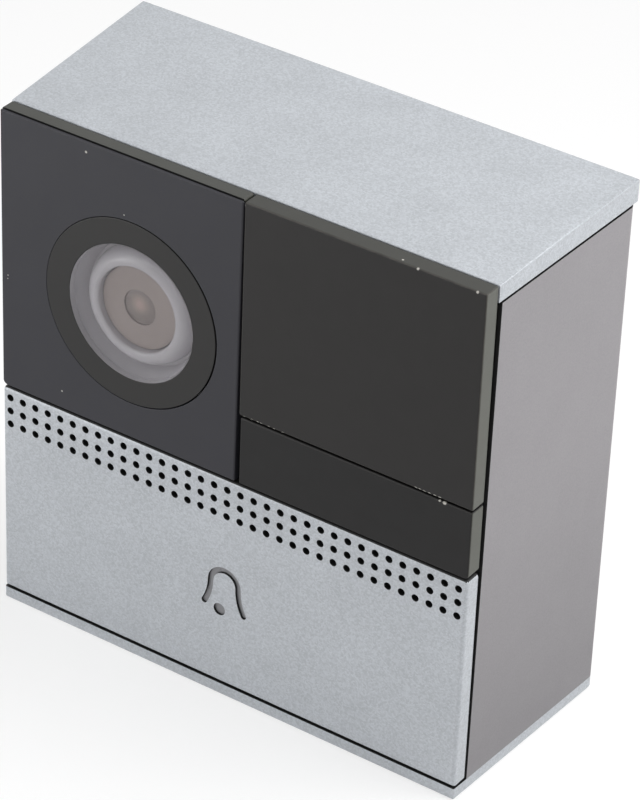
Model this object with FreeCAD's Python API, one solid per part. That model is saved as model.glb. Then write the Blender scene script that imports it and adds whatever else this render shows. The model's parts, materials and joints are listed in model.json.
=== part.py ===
import FreeCAD, Part
import math
import os
from FreeCAD import Vector

# Video door phone, in millimetres. X runs to the right as a visitor sees it, Y from the front face
# back to the wall, and Z up. The origin is the middle of the footprint, on the underside.

# Overall form. The housing flares and its top rises from the front face to the wall.
front_width = 100.0
front_height = 104.0
depth = 44.0
side_flare = 2.1
top_rise = 2.4
rear_corner_radius = 1.8

# Housing walls, top cover and bottom cover
wall = 2.2
back_wall = 2.2
lip = 0.8
base_thickness = 2.4
top_edge_front = 3.3
top_edge_back = 4.4
top_skin = 2.0
skirt = 1.6
shadow_gap = 0.5
cover_front_gap = 0.3
groove_top = 1.35
groove_bottom = 0.5
outer_edge_round = 0.35
base_skin = 1.3

# Covers on the front face
cover_depth = 3.3
cover_face = 1.7
cover_rim = 0.9
cover_edge_radius = 0.35
cover_corner_radius = 1.0
flange_thickness = 0.6
flange_set_back = 0.75
flange_gap = 0.4
faceplate_drop = 0.05
seam = 0.4
column_seam = 0.5
split_x = 1.75
strip_height = 13.75
key_height = 44.15
key_gap = 0.45
key_edge_radius = 0.7
key_corner_radius = 0.8

# Grille in the call panel
grille_columns = 35
grille_rows = 3
grille_pitch = 2.84
grille_row_pitch = 2.82
grille_hole_radius = 0.72
grille_top_drop = 2.05
cloth_thickness = 0.3
cloth_margin = 0.4

# Bell symbol, cut through the call panel and filled from behind
bell_x = -0.1
bell_z = 24.5
bell_arch_radius = 3.0
bell_foot_x = 4.3
bell_foot_drop = 5.1
bell_waist_x = 3.35
bell_waist_drop = 2.7
bell_stroke = 1.2
clapper_x = -0.95
clapper_drop = 5.75
clapper_radius = 1.25
bell_fit = 0.05
bell_sink = 0.45
bell_base_half = 6.5
bell_base_low = 8.2
bell_base_high = 4.8
bell_base_thickness = 1.0

# Pivot, stops and switch of the call panel
key_clearance = 0.6
pivot_depth = 8.2
pivot_drop = 3.5
pin_radius = 1.0
pivot_fit = 0.05
ear_width = 1.2
ear_columns_in = 2
ear_cloth_play = 0.2
ear_radius = 2.4
lug_width = 1.4
lug_radius = 2.6
side_play = 0.3
hook_x = 30.0
hook_z = 7.9
hook_width = 6.0
hook_thickness = 1.4
hook_catch = 1.6
hook_length = 1.6
hook_play = 0.1
window_play = 0.6
plunger_z = 12.5
plunger_radius = 1.7
plunger_length = 1.3
plunger_fit = 0.08
plunger_gap = 0.1
plunger_stroke = 0.4
switch_size = 6.0
switch_height = 3.4
switch_set_back = 0.6
key_boss_radius = 2.0
spring_z = 8.3
spring_width = 3.4
spring_half_length = 18.0
spring_strip = 0.25

# Chassis behind the covers
chassis_plate = 2.0
chassis_play = 0.1
gasket_thickness = 0.6
gasket_width = 1.1
clip_width = 5.0
clip_thickness = 1.2
clip_catch = 0.8
clip_head = 1.4
clip_play = 0.15
boss_radius = 4.0
boss_x = 41.0
boss_low_z = 14.0
boss_high_drop = 12.5
boss_meet_y = 3.0
boss_joint_gap = 0.3
pilot_depth = 12.0

# Camera, on its own axis
camera_x = -21.45
camera_below_middle = 2.65
bezel_radius = 18.2
bezel_gap = 0.25
window_view_radius = 13.35
window_radius = 14.2
window_fit = 0.1
bezel_lip = 0.3
bezel_thickness = 1.3
seal_thickness = 0.2
shroud_wall_foot = 12.4
shroud_valley_radius = 11.8
shroud_valley_depth = 3.8
shroud_crest_depth = 1.7
shroud_bulge = 0.45
lens_flange_radius = 8.2
lens_flange_depth = 1.75
lens_flange_thickness = 1.45
shroud_back_depth = 5.0
shroud_spigot_radius = 14.5
chassis_camera_radius = 15.0
lens_fit = 0.1
barrel_radius = 6.0
barrel_length = 12.3
lens_radius = 3.4
lens_seat_depth = 1.4
lens_rear_radius = 2.6
lens_bulge = 0.5
holder_size = 15.0
holder_front_depth = 10.5
camera_board_depth = 17.8
board_thickness = 1.2
camera_board_size = 32.0
camera_post_offset = 13.5
sensor_size = 7.0
sensor_thickness = 1.2
sensor_room = 11.0
sensor_room_depth = 3.0

# Speaker, microphone and key board
speaker_x = 24.0
speaker_drop = 8.5
speaker_radius = 14.2
speaker_opening = 12.4
speaker_gasket_thickness = 0.4
speaker_flange = 1.0
speaker_basket_depth = 3.8
speaker_basket_radius = 8.0
speaker_rest = 1.2
magnet_radius = 7.5
magnet_length = 4.0
cone_paper = 0.35
cone_surround = 1.05
cone_apex_radius = 4.0
cone_depth = 2.8
sound_slot_count = 7
sound_slot_width = 1.8
sound_slot_pitch = 3.2
sound_slot_low_drop = 8.6
sound_slot_high_drop = 1.6
microphone_x = -36.0
microphone_drop = 5.0
microphone_radius = 3.0
microphone_length = 2.5
microphone_hole = 1.0
boot_wall = 1.2
boot_front = 1.0
boot_fit = 0.02
key_board_half = 12.0
key_board_low_z = 8.0
key_board_high_z = 32.0
key_post_x = 9.5
key_post_z = 20.0
led_width = 3.0
led_depth = 2.2
led_height = 1.4
led_hole_radius = 4.0

# Main board and what stands on it
main_board_thickness = 1.6
main_board_half = 37.0
main_board_low_z = 20.0
main_board_high_drop = 18.0
main_post_x = 33.0
main_post_inset = 4.0
terminal_ways = 4
terminal_pitch = 5.08
terminal_height = 10.0
terminal_depth = 8.6
terminal_play = 2.0
terminal_drop = 24.0
terminal_screw_radius = 1.5
terminal_screw_rise = 2.5
terminal_screw_sink = 0.8
terminal_screw_length = 4.0
terminal_wire_width = 3.0
terminal_wire_depth = 5.0
capacitor_count = 3
capacitor_radius = 4.0
capacitor_length = 10.0
capacitor_pitch = 10.0
capacitor_bevel = 0.4
capacitor_x = 14.0
capacitor_drop = 20.0
chip_sizes = ((12.0, 12.0), (8.0, 5.0), (5.0, 4.0))
chip_places = ((-4.0, 34.0), (14.0, 34.0), (26.0, 30.0))
chip_thickness = 1.2
flex_width = 10.0
flex_thickness = 0.3
flex_top_drop = 10.05
flex_bend_top_drop = 18.05
flex_bend_low_drop = 26.05
flex_low_drop = 33.05
connector_height = 3.0
connector_depth = 1.4

# Wall bracket, its hooks and the locking screw
bracket_recess = 4.6
bracket_thickness = 2.0
pad_x = 38.0
pad_rise = 21.5
pad_radius = 3.0
pad_play = 0.2
recess_half = 45.0
recess_low_z = 7.0
recess_high_drop = 8.0
bracket_play = 0.7
bracket_corner = 5.0
bracket_window_half = 20.0
bracket_window_low_z = 30.0
bracket_window_high_z = 60.0
bracket_window_corner = 4.0
wall_hole_radius = 2.2
wall_hole_spacing_x = 70.0
wall_hole_spacing_z = 70.0
box_slot_spacing = 60.0
box_slot_radius = 2.1
box_slot_length = 8.0
hanger_x = 22.0
hanger_width = 7.0
hanger_drop = 12.0
hanger_thickness = 1.6
hanger_rise = 1.2
hanger_play = 0.2
hanger_slot_play = 0.6
latch_half = 6.0
latch_z = 9.4
latch_thickness = 2.0
latch_reach = 10.0
latch_room = 1.8
pocket_wall = 1.6
pocket_height = 12.0
lock_screw_depth = 5.4
lock_screw_radius = 1.5
lock_screw_top_z = 13.0
lock_head_radius = 2.8
lock_head_height = 1.4
lock_head_sink = 0.3
screw_play = 0.1

# Cable entry in the back wall
cable_z = 41.0
cable_radius = 3.5
grommet_radius = 6.0
grommet_flange_radius = 8.0
grommet_flange = 1.2
grommet_fit = 0.05

# Small screws
screw_radius = 1.45
screw_fit = 0.05
screw_head_radius = 2.7
screw_head_height = 1.8
screw_head_play = 0.2
chassis_screw_seat = 2.4
small_screw_radius = 0.9
small_head_radius = 1.7
small_head_height = 1.0
small_screw_grip = 5.0
small_post_radius = 2.1
socket_radius = 0.9
socket_depth = 0.8

# Snap legs of the top and bottom covers
leg_x = 34.0
leg_width = 6.0
leg_thickness = 1.4
leg_inset = 9.0
leg_catch = 0.8
leg_head = 1.6
leg_play = 0.2
rib_thickness = 1.4
rib_spread = 40.0

# Places worked out from the sizes above
front_y = -depth / 2
back_y = depth / 2
half_front = front_width / 2
cover_back = front_y + cover_depth
plate_front = cover_back + key_clearance
plate_back = plate_front + chassis_plate
ledge_y = plate_back + gasket_thickness
recess_y = back_y - bracket_recess
back_wall_y = recess_y - back_wall
bracket_y = back_y - bracket_thickness
key_low = base_thickness + key_gap
key_high = key_low + key_height
pivot_z = key_high - pivot_drop
speaker_z = key_high - speaker_drop
sound_slot_low_z = key_high - sound_slot_low_drop
sound_slot_high_z = key_high - sound_slot_high_drop
microphone_z = key_high - microphone_drop
module_low = key_high + seam
strip_high = module_low + strip_height
cap_low = strip_high + seam
camera_z = (module_low + front_height) / 2 - camera_below_middle
boss_high_z = front_height - boss_high_drop
recess_high_z = front_height - recess_high_drop
hanger_z = recess_high_z - hanger_drop
left_module_right = split_x - column_seam / 2
right_module_left = split_x + column_seam / 2
face_back = front_y + cover_face
pivot_y = front_y + pivot_depth
ear_x = ((grille_columns - 1) / 2 - ear_columns_in + 0.5) * grille_pitch
bracket_middle_z = (recess_low_z + recess_high_z) / 2
chassis_low = base_thickness + lip + chassis_play
bezel_back = front_y + bezel_thickness
shroud_front = bezel_back + seal_thickness
camera_board_y = front_y + camera_board_depth
camera_board_back = camera_board_y + board_thickness
key_board_y = plate_front + switch_set_back + switch_height
main_board_high_z = front_height - main_board_high_drop
main_board_back = back_wall_y - terminal_play - terminal_depth
main_board_y = main_board_back - main_board_thickness
terminal_z = main_board_high_z - terminal_drop
capacitor_z = main_board_high_z - capacitor_drop
flex_top_z = camera_z - flex_top_drop
flex_bend_top_z = camera_z - flex_bend_top_drop
flex_bend_low_z = camera_z - flex_bend_low_drop
flex_low_z = camera_z - flex_low_drop
tiny = 0.01
far = 300.0

right = Vector(1, 0, 0)
back = Vector(0, 1, 0)
up = Vector(0, 0, 1)


def along(y):
    """Share of the way from the front face to the wall."""
    return (y - front_y) / depth


def half_width(y):
    """Half the outer width at a depth."""
    return half_front + side_flare * along(y)


def top_z(y):
    """Height of the top surface at a depth."""
    return front_height + top_rise * along(y)


def top_edge_z(y):
    """Height of the lower edge of the top cover at a depth."""
    edge = top_edge_front + (top_edge_back - top_edge_front) * along(y)
    return top_z(y) - edge


def housing_top_z(y):
    """Height of the top of the rear housing at a depth."""
    return top_edge_z(y) - shadow_gap


def box(x0, x1, y0, y1, z0, z1):
    """A box between two corners."""
    return Part.makeBox(x1 - x0, y1 - y0, z1 - z0, Vector(x0, y0, z0))


def rod_y(radius, x, z, y0, y1):
    """A cylinder along Y."""
    return Part.makeCylinder(radius, y1 - y0, Vector(x, y0, z), back)


def rod_x(radius, y, z, x0, x1):
    """A cylinder along X."""
    return Part.makeCylinder(radius, x1 - x0, Vector(x0, y, z), right)


def rod_z(radius, x, y, z0, z1):
    """A cylinder along Z."""
    return Part.makeCylinder(radius, z1 - z0, Vector(x, y, z0), up)


def polygon_face(points):
    """A flat face through points."""
    return Part.Face(Part.makePolygon(points + [points[0]]))


def taper(y0, y1, inset, low, high):
    """A block that follows the flare of the housing, drawn in by an inset, between two heights."""
    rings = []
    for y in (y0, y1):
        half = half_width(y) - inset
        corners = ((-half, low(y)), (half, low(y)), (half, high(y)), (-half, high(y)))
        rings.append([Vector(x, y, z) for x, z in corners])
    front_ring, rear_ring = rings
    faces = [polygon_face(front_ring), polygon_face(rear_ring)]
    for i in range(len(front_ring)):
        j = (i + 1) % len(front_ring)
        faces.append(polygon_face([front_ring[i], front_ring[j], rear_ring[j], rear_ring[i]]))
    solid = Part.makeSolid(Part.makeShell(faces))
    if solid.Volume < 0:
        solid.reverse()
    return solid


def wedge(x0, x1, y0, y1, low, high):
    """A block with sloping top and bottom between two sides."""
    section = [Vector(x0, y0, low(y0)), Vector(x0, y1, low(y1))]
    section += [Vector(x0, y1, high(y1)), Vector(x0, y0, high(y0))]
    return polygon_face(section).extrude(Vector(x1 - x0, 0, 0))


def rounded_outline(x0, x1, z0, z1, low_radius, high_radius, y):
    """A rectangle in the XZ plane with rounded lower and upper corners."""
    corners = (
        (x0, z0, low_radius, 180.0),
        (x1, z0, low_radius, 270.0),
        (x1, z1, high_radius, 0.0),
        (x0, z1, high_radius, 90.0),
    )
    arcs = []
    for x, z, radius, start in corners:
        cx = x + radius if x == x0 else x - radius
        cz = z + radius if z == z0 else z - radius
        points = []
        for turn in (0.0, 45.0, 90.0):
            angle = math.radians(start + turn)
            points.append(Vector(cx + radius * math.cos(angle), y, cz + radius * math.sin(angle)))
        arcs.append(points)
    edges = []
    for i, points in enumerate(arcs):
        following = arcs[(i + 1) % len(arcs)]
        edges.append(Part.Arc(*points).toShape())
        edges.append(Part.makeLine(points[2], following[0]))
    return Part.Face(Part.Wire(edges))


def rounded_plate(x0, x1, z0, z1, low_radius, high_radius, y0, y1):
    """A plate with rounded corners, from one depth to another."""
    face = rounded_outline(x0, x1, z0, z1, low_radius, high_radius, y0)
    return face.extrude(Vector(0, y1 - y0, 0))


def ring_profile(points, x, z):
    """A solid of revolution about an axis along Y, from (radius, y) points."""
    wire = [Vector(x + radius, y, z) for radius, y in points]
    return polygon_face(wire).revolve(Vector(x, 0, z), back, 360)


def tube_y(outer, inner, x, z, y0, y1):
    """A tube along Y."""
    return rod_y(outer, x, z, y0, y1).cut(rod_y(inner, x, z, y0, y1))


def edges_where(shape, test):
    """The edges all of whose ends and middle pass a test."""
    found = []
    for edge in shape.Edges:
        middle = edge.valueAt((edge.FirstParameter + edge.LastParameter) / 2)
        places = [vertex.Point for vertex in edge.Vertexes] + [middle]
        if all(test(place) for place in places):
            found.append(edge)
    return found


def round_front_edges(shape, radius, keep=None):
    """Round the edges that lie in the front face."""
    def in_front(place):
        return abs(place.y - front_y) < tiny and (keep is None or keep(place))
    return shape.makeFillet(radius, edges_where(shape, in_front))


def fuse_all(shapes):
    """One solid from many that touch or overlap."""
    first, rest = shapes[0], shapes[1:]
    joined = first.fuse(rest) if rest else first
    return joined.removeSplitter()


def cut_all(shape, tools):
    """A shape less many others."""
    return shape.cut(Part.makeCompound(tools))


def screw_y(x, z, y_head, direction, radius, length, head_radius, head_height):
    """A socket screw along Y: the head stands on y_head, and the shank runs along direction."""
    axis = back * direction
    seat = Vector(x, y_head, z)
    shank = Part.makeCylinder(radius, length, seat, axis)
    head = Part.makeCylinder(head_radius, head_height, seat, axis * -1)
    socket_seat = seat - axis * (head_height - socket_depth)
    socket = Part.makeCylinder(socket_radius, socket_depth, socket_seat, axis * -1)
    return head.fuse(shank).cut(socket)


def snap_leg(x, z, catch, length_back):
    """A snap leg behind a front cover, and the slot it needs. Catch is +1 up or -1 down."""
    root = face_back
    head_front = plate_back + clip_play
    x0 = x - clip_width / 2
    x1 = x + clip_width / 2
    z0 = z - clip_thickness / 2
    z1 = z + clip_thickness / 2
    leg = box(x0, x1, root, head_front + length_back, z0, z1)
    outer = z1 if catch > 0 else z0
    reach = outer + catch * clip_catch
    catch_outline = [
        Vector(x0, head_front, outer - catch * clip_thickness / 2),
        Vector(x0, head_front, reach),
        Vector(x0, head_front + length_back, outer),
        Vector(x0, head_front + length_back, outer - catch * clip_thickness / 2),
    ]
    head = polygon_face(catch_outline).extrude(Vector(clip_width, 0, 0))
    slot = box(x0 - clip_play, x1 + clip_play, cover_back - tiny, plate_back + tiny,
               z0 - clip_play, z1 + clip_play)
    return leg.fuse(head), slot


def chassis_boss_places():
    """Where the four long screws join the chassis to the housing."""
    return [(x, z) for x in (-boss_x, boss_x) for z in (boss_low_z, boss_high_z)]


def camera_post_places():
    """Where the camera board is screwed to the chassis."""
    offsets = (-camera_post_offset, camera_post_offset)
    return [(camera_x + dx, camera_z + dz) for dx in offsets for dz in offsets]


def key_post_places():
    """Where the key board is screwed to the chassis."""
    return [(-key_post_x, key_post_z), (key_post_x, key_post_z)]


def main_post_places():
    """Where the main board is screwed to the housing."""
    heights = (main_board_low_z + main_post_inset, main_board_high_z - main_post_inset)
    return [(x, z) for x in (-main_post_x, main_post_x) for z in heights]


def cover_leg_places():
    """Plan positions of the snap legs of the top and bottom covers."""
    depths = (ledge_y + leg_inset, back_wall_y - leg_inset)
    return [(x, y) for x in (-leg_x, leg_x) for y in depths]


def rear_housing():
    """The flared tub: side walls, back wall with the bracket recess, bosses and pocket."""
    def low(y):
        return base_thickness
    shell = taper(cover_back, back_y, 0.0, low, housing_top_z)
    rear_edges = edges_where(shell, lambda p: abs(p.y - back_y) < tiny and abs(p.x) > half_front)
    shell = shell.makeFillet(rear_corner_radius, rear_edges)
    front_line = [
        Vector(-far, front_y - far, base_thickness),
        Vector(-far, cover_back + groove_bottom, base_thickness),
        Vector(-far, cover_back + groove_top, front_height),
        Vector(-far, front_y - far, front_height),
    ]
    shell = shell.cut(polygon_face(front_line).extrude(Vector(2 * far, 0, 0)))

    def inner_low(y):
        return base_thickness + wall

    def inner_high(y):
        return housing_top_z(y) - wall
    cavity = taper(front_y, back_wall_y, wall, inner_low, inner_high)
    channel = taper(front_y, back_y - wall, wall, inner_low, inner_high)
    frame_half = recess_half + wall
    core = box(-frame_half, frame_half, front_y, back_y, recess_low_z - wall, recess_high_z + wall)
    mouth = taper(front_y, ledge_y, lip, lambda y: base_thickness + lip, lambda y: housing_top_z(y) - lip)
    recess = rounded_plate(
        -recess_half, recess_half, recess_low_z, recess_high_z,
        bracket_corner, bracket_corner, recess_y, back_y
    )
    shell = shell.cut(cavity).cut(channel.cut(core)).cut(mouth).cut(recess)

    added = []
    removed = []
    rib_half = rib_thickness / 2
    for x, z in chassis_boss_places():
        added.append(rod_y(boss_radius, x, z, boss_meet_y + boss_joint_gap, back_wall_y + tiny))
        removed.append(rod_y(screw_radius + screw_fit, x, z, front_y, back_y))
        seat = back_wall_y - chassis_screw_seat
        removed.append(rod_y(screw_head_radius + screw_head_play, x, z, seat, back_y))
        rib_end = half_width(boss_meet_y) - wall / 2
        rib = box(min(x, math.copysign(rib_end, x)), max(x, math.copysign(rib_end, x)),
                  boss_meet_y + boss_radius, back_wall_y + tiny, z - rib_half, z + rib_half)
        added.append(rib)
    for x, z in main_post_places():
        added.append(rod_y(small_post_radius, x, z, main_board_back, back_wall_y + tiny))
        removed.append(rod_y(small_screw_radius + screw_fit, x, z, main_board_back - tiny,
                             main_board_back + small_screw_grip + screw_play))
    pocket_half = latch_half + latch_room
    pocket_floor = base_thickness + wall
    pocket_top = pocket_floor + pocket_height
    pocket_front = bracket_y - latch_reach - latch_room
    added.append(box(-pocket_half - pocket_wall, pocket_half + pocket_wall, pocket_front - pocket_wall,
                     back_wall_y + tiny, pocket_floor - tiny, pocket_top + pocket_wall))
    removed.append(box(-pocket_half, pocket_half, pocket_front, recess_y + tiny, pocket_floor, pocket_top))
    lock_y = bracket_y - lock_screw_depth
    removed.append(rod_z(lock_screw_radius + screw_play, 0, lock_y, 0, pocket_floor + wall))
    removed.append(rod_y(grommet_radius, 0, cable_z, back_wall_y - tiny, recess_y + tiny))
    for x in (-hanger_x, hanger_x):
        slot_half = hanger_width / 2 + hanger_slot_play
        slot_top = hanger_z + hanger_thickness + hanger_play
        slot_low = slot_top - hanger_thickness - hanger_rise - hanger_play
        removed.append(box(x - slot_half, x + slot_half, back_wall_y - tiny, recess_y + tiny,
                           slot_low, slot_top))
    for x in (-pad_x, pad_x):
        for z in (bracket_middle_z - pad_rise, bracket_middle_z + pad_rise):
            added.append(rod_y(pad_radius, x, z, recess_y - tiny, bracket_y - pad_play))
    for x, y in cover_leg_places():
        half = leg_width / 2 + leg_play
        y0 = y - leg_thickness / 2 - leg_play
        y1 = y + leg_thickness / 2 + leg_play
        ceiling = housing_top_z(y) - 2 * wall
        removed.append(box(x - half, x + half, y0, y1, base_thickness - tiny, pocket_floor + tiny))
        removed.append(box(x - half, x + half, y0, y1, ceiling, front_height + top_rise))
    shell = fuse_all([shell] + added)
    return cut_all(shell, removed)


def top_cover():
    """The pale top plate: a wedge that rises to the wall, hollow below, with a skirt, ribs and legs."""
    start = cover_back + cover_front_gap
    body = taper(start, back_y, 0.0, top_edge_z, top_z)
    inner = taper(start + skirt, back_y - skirt, skirt,
                  lambda y: base_thickness, lambda y: top_z(y) - top_skin)
    rim = edges_where(body, lambda p: abs(p.z - top_z(p.y)) < tiny)
    body = body.makeFillet(outer_edge_round, rim)
    pieces = [body.cut(inner)]
    rib_front = start + skirt
    rib_rear = back_y - skirt
    for x in (-rib_spread, 0.0, rib_spread):
        pieces.append(wedge(x - rib_thickness / 2, x + rib_thickness / 2,
                            max(rib_front, plate_back), rib_rear,
                            housing_top_z, lambda y: top_z(y) - top_skin / 2))
    for x, y in cover_leg_places():
        x0 = x - leg_width / 2
        y0 = y - leg_thickness / 2
        y1 = y + leg_thickness / 2
        tip = housing_top_z(y) - wall - leg_play - leg_head
        pieces.append(box(x0, x0 + leg_width, y0, y1, tip, top_z(y) - top_skin / 2))
        pieces.append(leg_barb(x0, y1, tip + leg_head, tip))
    return fuse_all(pieces)


def leg_barb(x0, y_face, z_catch, z_tip):
    """The hooked end of a cover's snap leg."""
    outline = [
        Vector(x0, y_face - tiny, z_catch),
        Vector(x0, y_face + leg_catch, z_catch),
        Vector(x0, y_face - tiny, z_tip),
    ]
    return polygon_face(outline).extrude(Vector(leg_width, 0, 0))


def bottom_cover():
    """The pale bottom plate, from the front face to the wall, with rounded rear corners."""
    half_back = half_width(back_y)
    outline = [
        Vector(-half_front, front_y, 0),
        Vector(half_front, front_y, 0),
        Vector(half_back, back_y, 0),
        Vector(-half_back, back_y, 0),
    ]
    plate = polygon_face(outline).extrude(up * base_thickness)
    rear_corners = edges_where(plate, lambda p: abs(p.y - back_y) < tiny and abs(p.x) > half_front)
    plate = plate.makeFillet(rear_corner_radius, rear_corners)
    front_corners = edges_where(plate, lambda p: abs(p.y - front_y) < tiny and abs(p.x) > half_front - tiny)
    plate = plate.makeFillet(outer_edge_round, front_corners)
    plate = plate.makeFillet(outer_edge_round, edges_where(plate, lambda p: abs(p.z) < tiny))
    pockets = []
    pocket_half = half_front - 2 * skirt
    middle = ledge_y + leg_inset + (back_wall_y - ledge_y - 2 * leg_inset) / 2
    bays = ((ledge_y, middle - rib_thickness / 2), (middle + rib_thickness / 2, back_wall_y))
    screw_y_place = bracket_y - lock_screw_depth
    for y0, y1 in bays:
        for x0, x1 in ((-pocket_half, -lock_head_radius * 2), (lock_head_radius * 2, pocket_half)):
            pockets.append(box(x0, x1, y0, y1, base_skin, base_thickness))
    plate = cut_all(plate, pockets)
    pieces = [plate]
    for x, y in cover_leg_places():
        x0 = x - leg_width / 2
        y0 = y - leg_thickness / 2
        y1 = y + leg_thickness / 2
        tip = base_thickness + wall + leg_play + leg_head
        pieces.append(box(x0, x0 + leg_width, y0, y1, base_skin - tiny, tip))
        pieces.append(leg_barb(x0, y1, tip - leg_head, tip))
    plate = fuse_all(pieces)
    head_room = rod_z(lock_head_radius + screw_play, 0, screw_y_place,
                      -tiny, lock_head_sink + lock_head_height)
    shank_room = rod_z(lock_screw_radius + screw_play, 0, screw_y_place, 0, base_thickness + tiny)
    return plate.cut(head_room).cut(shank_room)


def wall_bracket():
    """The plate that is screwed to the wall, with hooks at the top and a latch tab at the bottom."""
    half = recess_half - bracket_play
    low = recess_low_z + bracket_play + hanger_rise
    high = recess_high_z - bracket_play
    plate = rounded_plate(-half, half, low, high, bracket_corner, bracket_corner, bracket_y, back_y)
    plate = plate.cut(rounded_plate(-bracket_window_half, bracket_window_half, bracket_window_low_z,
                                    bracket_window_high_z, bracket_window_corner, bracket_window_corner,
                                    bracket_y - tiny, back_y + tiny))
    added = []
    for x in (-hanger_x, hanger_x):
        x0 = x - hanger_width / 2
        finger_back = back_wall_y - hanger_play
        added.append(box(x0, x0 + hanger_width, finger_back - hanger_thickness, bracket_y + tiny,
                         hanger_z, hanger_z + hanger_thickness))
        added.append(box(x0, x0 + hanger_width, finger_back - hanger_thickness, finger_back,
                         hanger_z, hanger_z + hanger_thickness + hanger_rise))
    added.append(box(-latch_half, latch_half, bracket_y - latch_reach, bracket_y + tiny,
                     latch_z, latch_z + latch_thickness))
    plate = fuse_all([plate] + added)
    removed = []
    middle = bracket_middle_z
    for dx in (-wall_hole_spacing_x / 2, wall_hole_spacing_x / 2):
        for dz in (-wall_hole_spacing_z / 2, wall_hole_spacing_z / 2):
            removed.append(rod_y(wall_hole_radius, dx, middle + dz, bracket_y - tiny, back_y + tiny))
    run = box_slot_length / 2 - box_slot_radius
    for x in (-box_slot_spacing / 2, box_slot_spacing / 2):
        ends = [rod_y(box_slot_radius, x + dx, middle, bracket_y - tiny, back_y + tiny)
                for dx in (-run, run)]
        bar = box(x - run, x + run, bracket_y - tiny, back_y + tiny,
                  middle - box_slot_radius, middle + box_slot_radius)
        removed.append(fuse_all([bar] + ends))
    removed.append(rod_z(lock_screw_radius + screw_fit, 0, bracket_y - lock_screw_depth, latch_z - tiny,
                         latch_z + latch_thickness + tiny))
    return cut_all(plate, removed)


def locking_screw():
    """The screw in the underside that locks the housing to the bracket."""
    y = bracket_y - lock_screw_depth
    head_top = lock_head_sink + lock_head_height
    head = rod_z(lock_head_radius, 0, y, lock_head_sink, head_top)
    shank = rod_z(lock_screw_radius, 0, y, head_top - tiny, lock_screw_top_z)
    socket = Part.makeCylinder(socket_radius, socket_depth, Vector(0, y, lock_head_sink), up)
    return head.fuse(shank).cut(socket)


def cable_grommet():
    """The rubber grommet in the back wall, with the bore that the cable comes through."""
    y0 = back_wall_y - grommet_flange
    profile = [
        (cable_radius, y0),
        (grommet_flange_radius, y0),
        (grommet_flange_radius, back_wall_y),
        (grommet_radius - grommet_fit, back_wall_y),
        (grommet_radius - grommet_fit, recess_y),
        (cable_radius, recess_y),
    ]
    return ring_profile(profile, 0, cable_z)


def front_gasket():
    """The seal between the chassis and the housing's ledge."""
    inset = lip + chassis_play
    outer = taper(plate_back, ledge_y, inset, lambda y: chassis_low, lambda y: housing_top_z(y) - inset)
    inset_in = inset + gasket_width
    inner = taper(plate_back - tiny, ledge_y + tiny, inset_in, lambda y: chassis_low + gasket_width,
                  lambda y: housing_top_z(y) - inset_in)
    return outer.cut(inner)


def cover_clips():
    """Snap legs of the front covers: name to a list of (x, z, catch)."""
    right_edge = half_front - clip_width
    cap_mid = (right_module_left + half_front) / 2
    return {
        "camera_module_frame": [
            (-half_front + 2 * clip_width, chassis_top_z() - 2 * clip_thickness, -1),
            (left_module_right - clip_width, chassis_top_z() - 2 * clip_thickness, -1),
            (-half_front + 2 * clip_width, module_low + 2 * clip_thickness, 1),
            (left_module_right - clip_width, module_low + 2 * clip_thickness, 1),
        ],
        "upper_module_cover": [
            (right_module_left + clip_width, chassis_top_z() - 2 * clip_thickness, -1),
            (right_edge - clip_width, chassis_top_z() - 2 * clip_thickness, -1),
            (cap_mid, cap_low + 2 * clip_thickness, 1),
        ],
        "lower_module_cover": [
            (right_module_left + clip_width, module_low + 2 * clip_thickness, 1),
            (right_edge - clip_width, module_low + 2 * clip_thickness, 1),
            (cap_mid, strip_high - 2 * clip_thickness, -1),
        ],
    }


def chassis_top_z():
    """Height of the chassis's upper edge."""
    return housing_top_z(plate_front) - lip - chassis_play


def hollow_cover(x0, x1, z0, z1, low_radius, high_radius, edge_radius):
    """A front cover: a face with a rim behind it."""
    slab = rounded_plate(x0, x1, z0, z1, low_radius, high_radius, front_y, cover_back)
    slab = round_front_edges(slab, edge_radius)
    hollow = box(x0 + cover_rim, x1 - cover_rim, face_back, cover_back + tiny,
                 z0 + cover_rim, z1 - cover_rim)
    return slab.cut(hollow)


def with_clips(cover, name):
    """A front cover with its snap legs."""
    legs = [snap_leg(x, z, catch, clip_head)[0] for x, z, catch in cover_clips()[name]]
    return fuse_all([cover] + legs)


def upper_module_cover():
    """The large dark cap to the right of the camera."""
    cap = hollow_cover(right_module_left, half_front, cap_low, front_height,
                       cover_edge_radius, cover_edge_radius, cover_edge_radius)
    return with_clips(cap, "upper_module_cover")


def lower_module_cover():
    """The narrow dark strip below the cap."""
    strip = hollow_cover(right_module_left, half_front, module_low, strip_high,
                         cover_corner_radius, cover_edge_radius, cover_edge_radius)
    return with_clips(strip, "lower_module_cover")


def camera_faceplate():
    """The dark plate round the camera. Its top edge is thinned, to stand in front of the frame's flange."""
    plate = rounded_plate(-half_front, left_module_right, module_low, front_height - faceplate_drop,
                          cover_corner_radius, cover_edge_radius, front_y, face_back)
    plate = round_front_edges(plate, cover_edge_radius)
    rebate = box(-half_front - tiny, left_module_right + tiny, front_y + flange_set_back - flange_gap,
                 face_back + tiny, front_height - flange_thickness - flange_gap, front_height + tiny)
    opening = rod_y(bezel_radius + bezel_gap, camera_x, camera_z, front_y - tiny, face_back + tiny)
    return plate.cut(rebate).cut(opening)


def camera_module_frame():
    """The frame behind the faceplate, whose top flange reaches forward over it."""
    frame = rounded_plate(-half_front, left_module_right, module_low, front_height,
                          cover_corner_radius, cover_edge_radius, front_y + flange_set_back, cover_back)
    room = box(-half_front - tiny, left_module_right + tiny, front_y, face_back,
               module_low - tiny, front_height - flange_thickness)
    opening = rod_y(bezel_radius + bezel_gap, camera_x, camera_z, face_back - tiny, cover_back + tiny)
    return with_clips(frame.cut(room).cut(opening), "camera_module_frame")


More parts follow.
